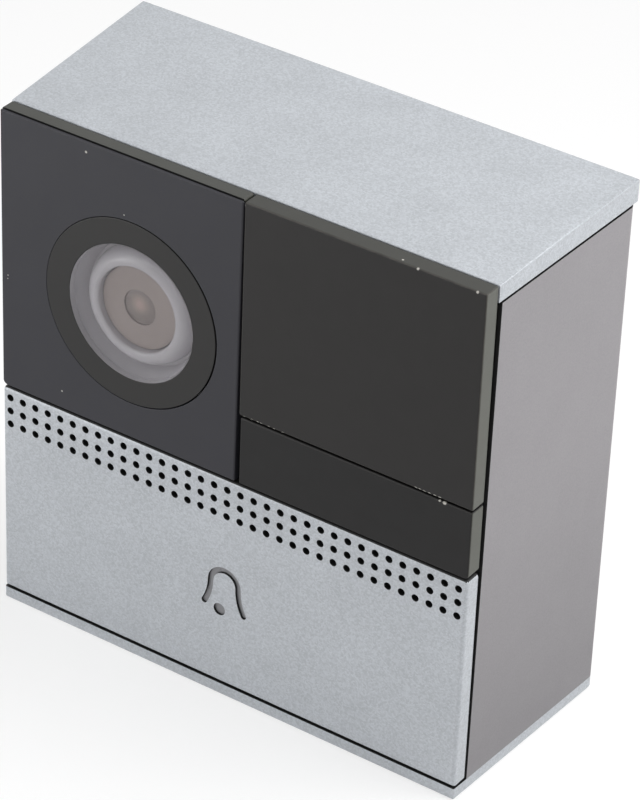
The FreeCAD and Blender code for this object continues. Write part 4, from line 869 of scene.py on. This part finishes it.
@dataclass
class Screw:
    """A pan-head screw with a hexagon socket and a rolled thread."""

    shank_radius: float
    head_radius: float
    head_height: float
    socket_share: float = 0.5
    socket_depth_share: float = 0.55
    crown_share: float = 0.86
    rim_share: float = 0.35
    tip_share: float = 0.7
    thread_pitch: float = 0.5 * MM
    thread_depth: float = 0.12 * MM
    segments: int = 28

    def build(self, bm: BMesh, low: Vector, high: Vector, faces: Faces) -> None:
        """Adds one screw that fills a box.

        Args:
            bm: The bmesh it goes in.
            low: Lowest corner of the box.
            high: Highest corner of the box.
            faces: Which way its head looks.
        """
        length = high.y - low.y
        hexagon = self.head_radius * self.socket_share
        floor = self.head_height * self.socket_depth_share
        crown = self.head_radius * self.crown_share
        rings = [(hexagon, floor, 6), (hexagon, 0.0, 6), (crown, 0.0, self.segments),
                 (self.head_radius, self.head_height * self.rim_share, self.segments),
                 (self.head_radius, self.head_height, self.segments),
                 (self.shank_radius, self.head_height, self.segments)]
        place = self.head_height + self.thread_pitch
        while place < length - self.thread_pitch:
            rings.append((self.shank_radius - self.thread_depth, place, self.segments))
            rings.append((self.shank_radius, place + self.thread_pitch / 2, self.segments))
            place += self.thread_pitch
        rings.append((self.shank_radius * self.tip_share, length, self.segments))
        part = lofted(rings, Vector())
        middle = (low + high) / 2
        if faces is Faces.FRONT:
            move = Matrix.Translation((middle.x, low.y, middle.z))
        else:
            move = Matrix.Translation((middle.x, high.y, middle.z)) @ Matrix.Rotation(math.pi, 4, "Z")
        bmesh.ops.transform(part, matrix=move, verts=part.verts)
        scratch = bpy.data.meshes.new("screw")
        part.to_mesh(scratch)
        part.free()
        bm.from_mesh(scratch)
        bpy.data.meshes.remove(scratch)


def screw_group(node: str, shank_radius: float, head_height: float, faces: Faces) -> None:
    """Replaces a group of plain screws by screws with heads, sockets and threads.

    Args:
        node: The construction node that holds the screws.
        shank_radius: Radius over the thread.
        head_height: Height of the head.
        faces: Which way the heads look.
    """
    bm = bmesh.new()
    for low, high in solids_of(node):
        screw = Screw(shank_radius, (high.x - low.x) / 2, head_height)
        screw.build(bm, low, high, faces)
    finish_piece(bm, f"{node}_threaded", Palette.STEEL, (node,))


@dataclass
class Enclosure:
    """Rear housing, top and bottom covers, gasket and grommet, painted on the outside only, black inside,
    and black as painted shade on the faces in the gaps.
    """

    half_front: float = 50.0 * MM
    front_height: float = 104.0 * MM
    side_flare: float = 2.1 * MM
    top_rise: float = 2.4 * MM
    skin: float = 0.5 * MM
    base_play: float = 0.1 * MM
    foot_skin: float = 1.0 * MM
    back_rim: float = 6.0 * MM
    # How squarely a face has to look forward, down or back, up, and straight up to take the black of bare
    # ABS and painted shade
    mouth_lean: float = 0.3
    under_lean: float = 0.4
    shelf_lean: float = 0.5
    floor_lean: float = 0.9
    chassis_screw_radius: float = 1.45 * MM
    chassis_head_height: float = 1.8 * MM

    def __post_init__(self) -> None:
        """Finds the planes that the flare starts and ends at."""
        self.front_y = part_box("call_panel")[0].y
        self.back_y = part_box("rear_housing")[1].y
        self.cover_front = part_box("top_cover")[0].y
        self.base_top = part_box("rear_housing")[0].z

    def share(self, y: float) -> float:
        """How far back a depth lies, from 0 at the front to 1 at the wall."""
        return (y - self.front_y) / (self.back_y - self.front_y)

    def on_side(self, point: Vector) -> bool:
        """Whether a point lies in the skin of a flared side."""
        return abs(point.x) > self.half_front + self.side_flare * self.share(point.y) - self.skin

    def below_top(self, point: Vector) -> bool:
        """Whether a point lies below the skin of the rising top."""
        return point.z < self.front_height + self.top_rise * self.share(point.y) - self.skin

    def top_shows_black(self, face: BMFace) -> bool:
        """Tells the black faces of the top cover: its unpainted inside, and its downward faces, whose black
        is painted shade.

        Args:
            face: A face of the cover.

        Returns:
            Whether the face takes the black of bare ABS and painted shade.
        """
        point = face.calc_center_median()
        inside = (self.below_top(point) and not self.on_side(point)
                  and self.cover_front + self.skin < point.y < self.back_y - self.skin)
        return inside or face.normal.z < -self.under_lean

    def bottom_shows_black(self, face: BMFace) -> bool:
        """Tells the black faces of the bottom cover: its unpainted top, whose black also stands as painted
        shade in the gaps above it.

        Args:
            face: A face of the cover.

        Returns:
            Whether the face takes the black of bare ABS and painted shade.
        """
        point = face.calc_center_median()
        return (point.z > self.base_top - self.base_play
                or face.normal.z > self.floor_lean and point.z > self.foot_skin)

    def housing_shows_black(self, face: BMFace) -> bool:
        """Tells the black faces of the housing: its unpainted inside, and its front edges and ledges, whose
        black is painted shade in the gaps.

        Args:
            face: A face of the housing.

        Returns:
            Whether the face takes the black of bare ABS and painted shade.
        """
        point = face.calc_center_median()
        outside = (self.on_side(point)
                   or point.y > self.back_y - self.back_rim and face.normal.y > self.under_lean)
        return not outside or face.normal.y < -self.mouth_lean or face.normal.z > self.shelf_lean

    def build(self) -> None:
        """Builds the enclosure."""
        smooth_node("rear_housing", Palette.GREY, Palette.BARE_AND_SHADE, self.housing_shows_black)
        smooth_node("top_cover", Palette.SILVER, Palette.BARE_AND_SHADE, self.top_shows_black)
        smooth_node("bottom_cover", Palette.SILVER, Palette.BARE_AND_SHADE, self.bottom_shows_black)
        smooth_node("cable_grommet", Palette.RUBBER)
        dress_node("front_gasket", Palette.RUBBER)
        smooth_node("front_chassis", Palette.INNER_BLACK)
        screw_group("chassis_screws", self.chassis_screw_radius, self.chassis_head_height, Faces.BACK)


@dataclass
class FrontCovers:
    """The black covers of the front face."""

    bore_radius: float = 18.45 * MM
    bore_round: float = 0.12 * MM
    bore_play: float = 0.05 * MM
    face_play: float = 0.01 * MM
    edge_reach: float = 1.0 * MM
    seam_taper: float = 0.42 * MM
    seam_set: float = 0.14 * MM
    top_drop: float = 0.1 * MM
    corner_radius: float = 1.0 * MM
    strip_set: float = 0.33 * MM

    def build(self) -> None:
        """Builds the covers."""
        self.faceplate()
        self.strip()
        smooth_node("camera_module_frame", Palette.FRAME_BLACK)
        smooth_node("upper_module_cover", Palette.CAP_BLACK)

    def squared(self, bm: BMesh, corner: Pair, side: float) -> None:
        """Makes one round corner of a cover square.

        Args:
            bm: The cover's mesh, changed in place.
            corner: X and Z of the corner, at the cover's foot.
            side: 1 for a corner on the right, -1 for one on the left.
        """
        for vert in bm.verts:
            across = (vert.co.x - corner[0]) * side + self.corner_radius
            down = corner[1] + self.corner_radius - vert.co.z
            if across > 0 and down > 0:
                grow = math.hypot(across, down) / max(across, down)
                vert.co.x += (grow - 1) * across * side
                vert.co.z -= (grow - 1) * down

    def strip(self) -> None:
        """The narrow cover: its left end stands a little off the camera's plate."""
        bm = merged_copy("lower_module_cover")
        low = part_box("lower_module_cover")[0]
        self.squared(bm, (low.x, low.z), -1)
        for vert in bm.verts:
            if vert.co.x < low.x + self.edge_reach:
                vert.co.x += self.strip_set
        finish_piece(split_large(bm), "lower_module_cover_finished", Palette.STRIP_BLACK,
                     ("lower_module_cover",))

    def faceplate(self) -> None:
        """The camera's plate: its bore has a rounded mouth, and its seam narrows upwards."""
        bm = merged_copy("camera_faceplate")
        low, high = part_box("camera_faceplate")
        ring_low, ring_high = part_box("camera_bezel")
        centre = (ring_low + ring_high) / 2
        mouth = [edge for edge in bm.edges if all(
            abs(math.hypot(v.co.x - centre.x, v.co.z - centre.z) - self.bore_radius) < self.bore_play
            and abs(v.co.y - low.y) < self.face_play for v in edge.verts)]
        bmesh.ops.bevel(bm, geom=mouth, offset=self.bore_round, offset_type="OFFSET", profile=0.5,
                        segments=ROUNDING_SEGMENTS, affect="EDGES", material=-1)
        self.squared(bm, (high.x, low.z), 1)
        for vert in bm.verts:
            if vert.co.x > high.x - self.edge_reach:
                vert.co.x += self.seam_taper * (vert.co.z - low.z) / (high.z - low.z) - self.seam_set
            if vert.co.z > high.z - self.edge_reach:
                vert.co.z -= self.top_drop
        finish_piece(split_large(bm), "camera_faceplate_finished", Palette.BLACK, ("camera_faceplate",))


@dataclass
class CallKey:
    """The silver call panel with its grille, bell, pins, spring and switch."""

    skin: float = 0.6 * MM
    front_skin: float = 0.05 * MM
    foot_drop: float = 0.12 * MM
    # How squarely a face has to look up or down, and back, to take the black of bare ABS and painted shade
    edge_lean: float = 0.6
    back_lean: float = 0.5

    def __post_init__(self) -> None:
        """Finds the panel's box."""
        self.low, self.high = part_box("call_panel")

    def shows_black(self, face: BMFace) -> bool:
        """Tells the black faces of the panel: the unpainted inside, and the holes and the upper and lower
        edges, whose black is painted shade.

        Args:
            face: A face of the panel.

        Returns:
            Whether the face takes the black of bare ABS and painted shade.
        """
        point = face.calc_center_median()
        inset = (abs(point.x) < self.high.x - self.skin
                 and self.low.z + self.skin < point.z < self.high.z - self.skin)
        behind = point.y > self.low.y + self.front_skin
        return (behind and (inset or abs(face.normal.z) > self.edge_lean)
                or face.normal.y > self.back_lean)

    def build(self) -> None:
        """Builds the key and what it works on."""
        bm = merged_copy("call_panel")
        for vert in bm.verts:
            if vert.co.z < self.low.z + self.skin:
                vert.co.z -= self.foot_drop
        finish_piece(split_large(bm), "call_panel_finished", Palette.SILVER, ("call_panel",),
                     Palette.BARE_AND_SHADE, self.shows_black)
        smooth_node("bell_lens", Palette.BELL)
        dress_node("grille_cloth", Palette.CLOTH)
        smooth_node("pivot_pins", Palette.STEEL)
        dress_node("return_spring", Palette.SPRING)
        dress_node("switch_body", Palette.EPOXY)
        smooth_node("switch_plunger", Palette.EPOXY)
        dress_node("bell_led", Palette.LED)
        smooth_node("key_board", Palette.BOARD)
        screw_group("key_board_screws", *SMALL_SCREW, Faces.FRONT)


@dataclass
class Camera:
    """The camera behind its ring and window, turned about one axis."""

    ring_radius: float = 18.2 * MM
    view_radius: float = 13.35 * MM
    window_radius: float = 14.2 * MM
    window_fit: float = 0.1 * MM
    window_play: float = 0.025 * MM
    window_flange: float = 0.02 * MM
    rim_lean: float = 0.5
    lip: float = 0.3 * MM
    ring_thickness: float = 1.3 * MM
    ring_round: float = 0.12 * MM
    ring_play: float = 0.1 * MM
    ring_sits_left: float = 0.14 * MM
    shroud_foot: float = 12.1 * MM
    valley_radius: float = 11.5 * MM
    valley_depth: float = 4.6 * MM
    crest_radius: float = 9.2 * MM
    crest_depth: float = 1.42 * MM
    crest_drop: float = 0.5 * MM
    crest_steps: int = 8
    valley_steps: int = 16
    bore_radius: float = 8.3 * MM
    spigot_radius: float = 14.5 * MM
    spigot_depth: float = 5.0 * MM
    cover_depth: float = 3.3 * MM
    seal: float = 0.2 * MM
    disc_radius: float = 8.2 * MM
    disc_gap: float = 0.15 * MM
    disc_round: float = 0.06 * MM
    disc_depth: float = 2.7 * MM
    disc_thickness: float = 0.5 * MM
    lens_radius: float = 3.4 * MM
    lens_fit: float = 0.05 * MM
    lens_bulge: float = 0.35 * MM
    lens_set: float = 0.3 * MM
    lens_seat: float = 1.4 * MM
    lens_steps: int = 12
    lens_segments: int = 80

    def __post_init__(self) -> None:
        """Finds the axis and the front face."""
        low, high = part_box("camera_bezel")
        self.front = low.y
        self.axis = Vector(((low.x + high.x) / 2, low.y, (low.z + high.z) / 2))

    def build(self) -> None:
        """Builds the camera from the front back."""
        self.ring()
        self.window()
        self.shroud()
        self.lens_disc()
        self.lens()
        smooth_node("window_seal", Palette.FOAM)
        smooth_node("lens_barrel", Palette.BARREL)
        smooth_node("lens_holder", Palette.INNER_BLACK)
        dress_node("image_sensor", Palette.EPOXY)
        smooth_node("camera_board", Palette.BOARD)
        screw_group("camera_board_screws", *SMALL_SCREW, Faces.BACK)

    def ring(self) -> None:
        """The flush black ring."""
        front, back = self.front, self.front + self.ring_thickness
        seat = self.window_radius + self.window_fit
        outer = self.ring_radius + self.ring_play
        outline = [(self.view_radius, front), (outer, front), (outer, back),
                   (seat, back), (seat, front + self.lip), (self.view_radius, front + self.lip)]
        bm = lathe(outline, self.axis, self.ring_round)
        for vert in bm.verts:
            if math.hypot(vert.co.x - self.axis.x, vert.co.z - self.axis.z) > seat + self.ring_play:
                vert.co.x -= self.ring_sits_left
        finish_piece(bm, "camera_ring_turned", Palette.RING, ("camera_bezel",))

    def window(self) -> None:
        """The clear disc that fills the ring, with a thin flange behind it."""
        away = self.front + self.ring_thickness
        near = away - self.window_flange
        inner = self.view_radius - self.window_play
        steps = ((inner, self.front + self.window_play), (inner, near),
                 (self.window_radius, near), (self.window_radius, away))
        disc = lofted([(radius, depth, ROUND_SEGMENTS) for radius, depth in steps], self.axis)
        finish_piece(disc, "camera_window_disc", Palette.WINDOW, ("camera_window",), Palette.WINDOW_RIM,
                     lambda face: abs(face.normal.y) < self.rim_lean)

    def shroud(self) -> None:
        """The pale funnel: a valley inside the ring and a rounded crest round the lens."""
        front, ring_back = self.front, self.front + self.ring_thickness
        peak = (self.crest_radius, front + self.crest_depth)
        inner = quarter_round(peak, (self.bore_radius, peak[1] + self.crest_drop), self.crest_steps)
        outer = quarter_round(peak, (self.valley_radius, front + self.valley_depth), self.valley_steps)
        rest = [(self.shroud_foot, front + self.valley_depth),
                (self.view_radius - self.window_play, ring_back + self.window_play),
                (self.view_radius, ring_back + self.window_play),
                (self.view_radius, ring_back + self.seal),
                (self.ring_radius, ring_back + self.seal),
                (self.ring_radius, front + self.cover_depth),
                (self.spigot_radius, front + self.cover_depth),
                (self.spigot_radius, front + self.spigot_depth),
                (self.bore_radius, front + self.spigot_depth)]
        outline = inner[::-1] + outer[1:] + rest
        finish_piece(lathe(outline, self.axis), "lens_shroud_turned", Palette.SHROUD, ("lens_shroud",))

    def lens_disc(self) -> None:
        """The flat disc round the lens, with a fine step at the lens."""
        near = self.front + self.disc_depth
        away = near + self.disc_thickness
        outer = self.disc_radius - self.disc_gap
        outline = [(self.lens_radius, near), (outer, near), (outer, away), (self.lens_radius, away)]
        bm = lathe(outline, self.axis, self.disc_round)
        finish_piece(bm, "lens_disc_turned", Palette.LENS_DISC, ("lens_flange",))

    def lens(self) -> None:
        """The domed front lens."""
        back = self.front + self.disc_depth + self.disc_thickness + self.lens_seat
        rim = self.front + self.disc_depth + self.lens_set
        radius = self.lens_radius - self.lens_fit
        dome = [(radius, back, self.lens_segments), (radius, rim, self.lens_segments)]
        for i in range(1, self.lens_steps):
            share = 1 - i / self.lens_steps
            dome.append((radius * share, rim - self.lens_bulge * (1 - share * share),
                         self.lens_segments))
        finish_piece(lofted(dome, self.axis), "lens_glass_domed", Palette.LENS_GLASS, ("lens_glass",))


@dataclass
class Sound:
    """Speaker and microphone."""

    def build(self) -> None:
        """Builds both."""
        for node, finish in (("speaker_gasket", Palette.RUBBER), ("speaker_frame", Palette.BASKET),
                             ("speaker_cone", Palette.PAPER), ("speaker_magnet", Palette.MAGNET),
                             ("microphone_boot", Palette.RUBBER), ("microphone", Palette.CAN)):
            smooth_node(node, finish)


@dataclass
class MainBoard:
    """The main board with what stands on it, and the flat cable."""

    def build(self) -> None:
        """Builds the board and its parts."""
        smooth_node("main_board", Palette.BOARD)
        smooth_node("capacitors", Palette.CAN)
        dress_node("integrated_circuits", Palette.EPOXY)
        smooth_node("terminal_block", Palette.TERMINAL)
        smooth_node("terminal_screws", Palette.STEEL)
        dress_node("flex_connectors", Palette.SOCKET)
        dress_node("camera_flex", Palette.FILM)
        screw_group("main_board_screws", *SMALL_SCREW, Faces.FRONT)


@dataclass
class WallMount:
    """Bracket and locking screw."""

    def build(self) -> None:
        """Builds both."""
        smooth_node("wall_bracket", Palette.ZINC)
        smooth_node("locking_screw", Palette.STEEL)


@dataclass
class Studio:
    """Camera, lamps, floor and surroundings."""

    camera_mm: Triple = (321.9, -481.9, 431.08)
    azimuth: float = 0.58297
    elevation: float = 0.57854
    roll: float = 0.04138
    focal_pixels: float = 3894.0
    picture_height: float = 800.0
    sensor_mm: float = 36.0
    nearest: float = 0.05
    aim: Triple = (0.0, 0.0, 0.05)
    floor_size: float = 6.0
    floor_drop: float = 0.1 * MM
    surround: float = 0.21
    floor_seen: float = 0.36
    floor_glow: float = 0.65
    floor_lit: float = 0.9
    floor_roughness: float = 0.9
    lamps: tuple[tuple[str, Triple, float, float], ...] = (
        ("front_softbox", (-0.25, -0.3, 0.06), 0.15, 0.38),
        ("right_softbox", (0.3, 0.08, 0.2), 0.2, 0.58),
        ("left_softbox", (-0.35, -0.4, 0.45), 0.4, 1.1),
        ("high_softbox", (0.1, 0.15, 0.6), 0.4, 2.1),
        ("camera_softbox", (0.25, -0.5, 0.2), 0.12, 0.25),
    )

    def build(self) -> None:
        """Builds the studio."""
        self.camera()
        self.floor()
        self.world()
        for name, place, size, power in self.lamps:
            self.lamp(name, place, size, power)
        bpy.context.scene.view_settings.view_transform = "Standard"

    def camera(self) -> None:
        """The camera at the photograph's view."""
        data = bpy.data.cameras.new("photo_camera")
        data.sensor_fit = "VERTICAL"
        data.sensor_height = self.sensor_mm
        data.lens = self.focal_pixels / self.picture_height * self.sensor_mm
        data.clip_start = self.nearest
        eye = bpy.data.objects.new("photo_camera", data)
        bpy.context.scene.collection.objects.link(eye)
        back = Vector((math.sin(self.azimuth) * math.cos(self.elevation),
                       -math.cos(self.azimuth) * math.cos(self.elevation),
                       math.sin(self.elevation)))
        level = Vector((0, 0, 1)).cross(back).normalized()
        upright = back.cross(level)
        turn = Matrix.Rotation(self.roll, 3, back)
        axes = Matrix((turn @ level, turn @ upright, back)).transposed()
        eye.matrix_world = Matrix.Translation(Vector(self.camera_mm) * MM) @ axes.to_4x4()
        bpy.context.scene.camera = eye

    def floor(self) -> None:
        """A white floor that keeps a soft shadow, and lets the underside be seen from below."""
        bm = bmesh.new()
        bmesh.ops.create_grid(bm, x_segments=1, y_segments=1, size=self.floor_size / 2,
                              matrix=Matrix.Translation((0, 0, -self.floor_drop)))
        mesh = bpy.data.meshes.new("studio_floor")
        bm.to_mesh(mesh)
        bm.free()
        made = bpy.data.materials.new("matt_white_floor")
        made.use_nodes = True
        tree = made.node_tree
        shader = tree.nodes["Principled BSDF"]
        seen = self.seen(tree)
        for name, lit, shown in (("Base Color", self.floor_lit, self.floor_seen),
                                 ("Emission Strength", 0.0, self.floor_glow)):
            level = add_node(tree, "ShaderNodeMapRange", inputs={
                "Value": seen, "To Min": lit, "To Max": shown})
            tree.links.new(level.outputs["Result"], shader.inputs[name])
        shader.inputs["Emission Color"].default_value = (1.0, 1.0, 1.0, 1.0)
        shader.inputs["Roughness"].default_value = self.floor_roughness
        mesh.materials.append(made)
        clear = add_node(tree, "ShaderNodeBsdfTransparent")
        either = add_node(tree, "ShaderNodeMixShader", inputs={
            0: add_node(tree, "ShaderNodeNewGeometry").outputs["Backfacing"],
            1: shader.outputs["BSDF"], 2: clear.outputs["BSDF"]})
        tree.links.new(either.outputs["Shader"], tree.nodes["Material Output"].inputs["Surface"])
        ground = bpy.data.objects.new("studio_floor", mesh)
        bpy.context.scene.collection.objects.link(ground)

    def world(self) -> None:
        """Even surroundings, white where the camera looks past the floor."""
        world = bpy.data.worlds.new("studio")
        bpy.context.scene.world = world
        world.use_nodes = True
        tree = world.node_tree
        tree.nodes.clear()
        seen = add_node(tree, "ShaderNodeMapRange", inputs={
            "Value": self.seen(tree), "To Min": self.surround, "To Max": 1.0})
        light = add_node(tree, "ShaderNodeBackground", inputs={
            "Color": (1.0, 1.0, 1.0, 1.0), "Strength": seen.outputs["Result"]})
        out = add_node(tree, "ShaderNodeOutputWorld")
        tree.links.new(light.outputs["Background"], out.inputs["Surface"])

    def seen(self, tree: Tree) -> Socket:
        """1 where the camera sees the surroundings, itself or in gloss or through glass.

        Args:
            tree: The node tree of the floor or the world.

        Returns:
            The mask's socket.
        """
        path = add_node(tree, "ShaderNodeLightPath")
        either = add_node(tree, "ShaderNodeMath", {"operation": "MAXIMUM"}, {
            0: path.outputs["Is Camera Ray"], 1: path.outputs["Is Glossy Ray"]})
        return add_node(tree, "ShaderNodeMath", {"operation": "MAXIMUM"}, {
            0: either.outputs["Value"], 1: path.outputs["Is Transmission Ray"]}).outputs["Value"]

    def lamp(self, name: str, place: Triple, size: float, power: float) -> None:
        """Adds a square softbox that looks at the object.

        Args:
            name: The lamp's name.
            place: Where it stands, in metres.
            size: Length of its side.
            power: Its power in watts.
        """
        data = bpy.data.lights.new(name, "AREA")
        data.shape = "SQUARE"
        data.size = size
        data.energy = power
        lamp = bpy.data.objects.new(name, data)
        bpy.context.scene.collection.objects.link(lamp)
        turn = (Vector(self.aim) - Vector(place)).to_track_quat("-Z", "Y")
        lamp.matrix_world = Matrix.Translation(place) @ turn.to_matrix().to_4x4()


def main() -> None:
    """Builds every sub-assembly in order."""
    logging.basicConfig(level=logging.INFO, format="%(name)s %(message)s")
    for assembly in (Enclosure(), FrontCovers(), CallKey(), Camera(), Sound(), MainBoard(),
                     WallMount(), Studio()):
        log.info("building %s", type(assembly).__name__)
        assembly.build()


if __name__ == "__main__":
    main()
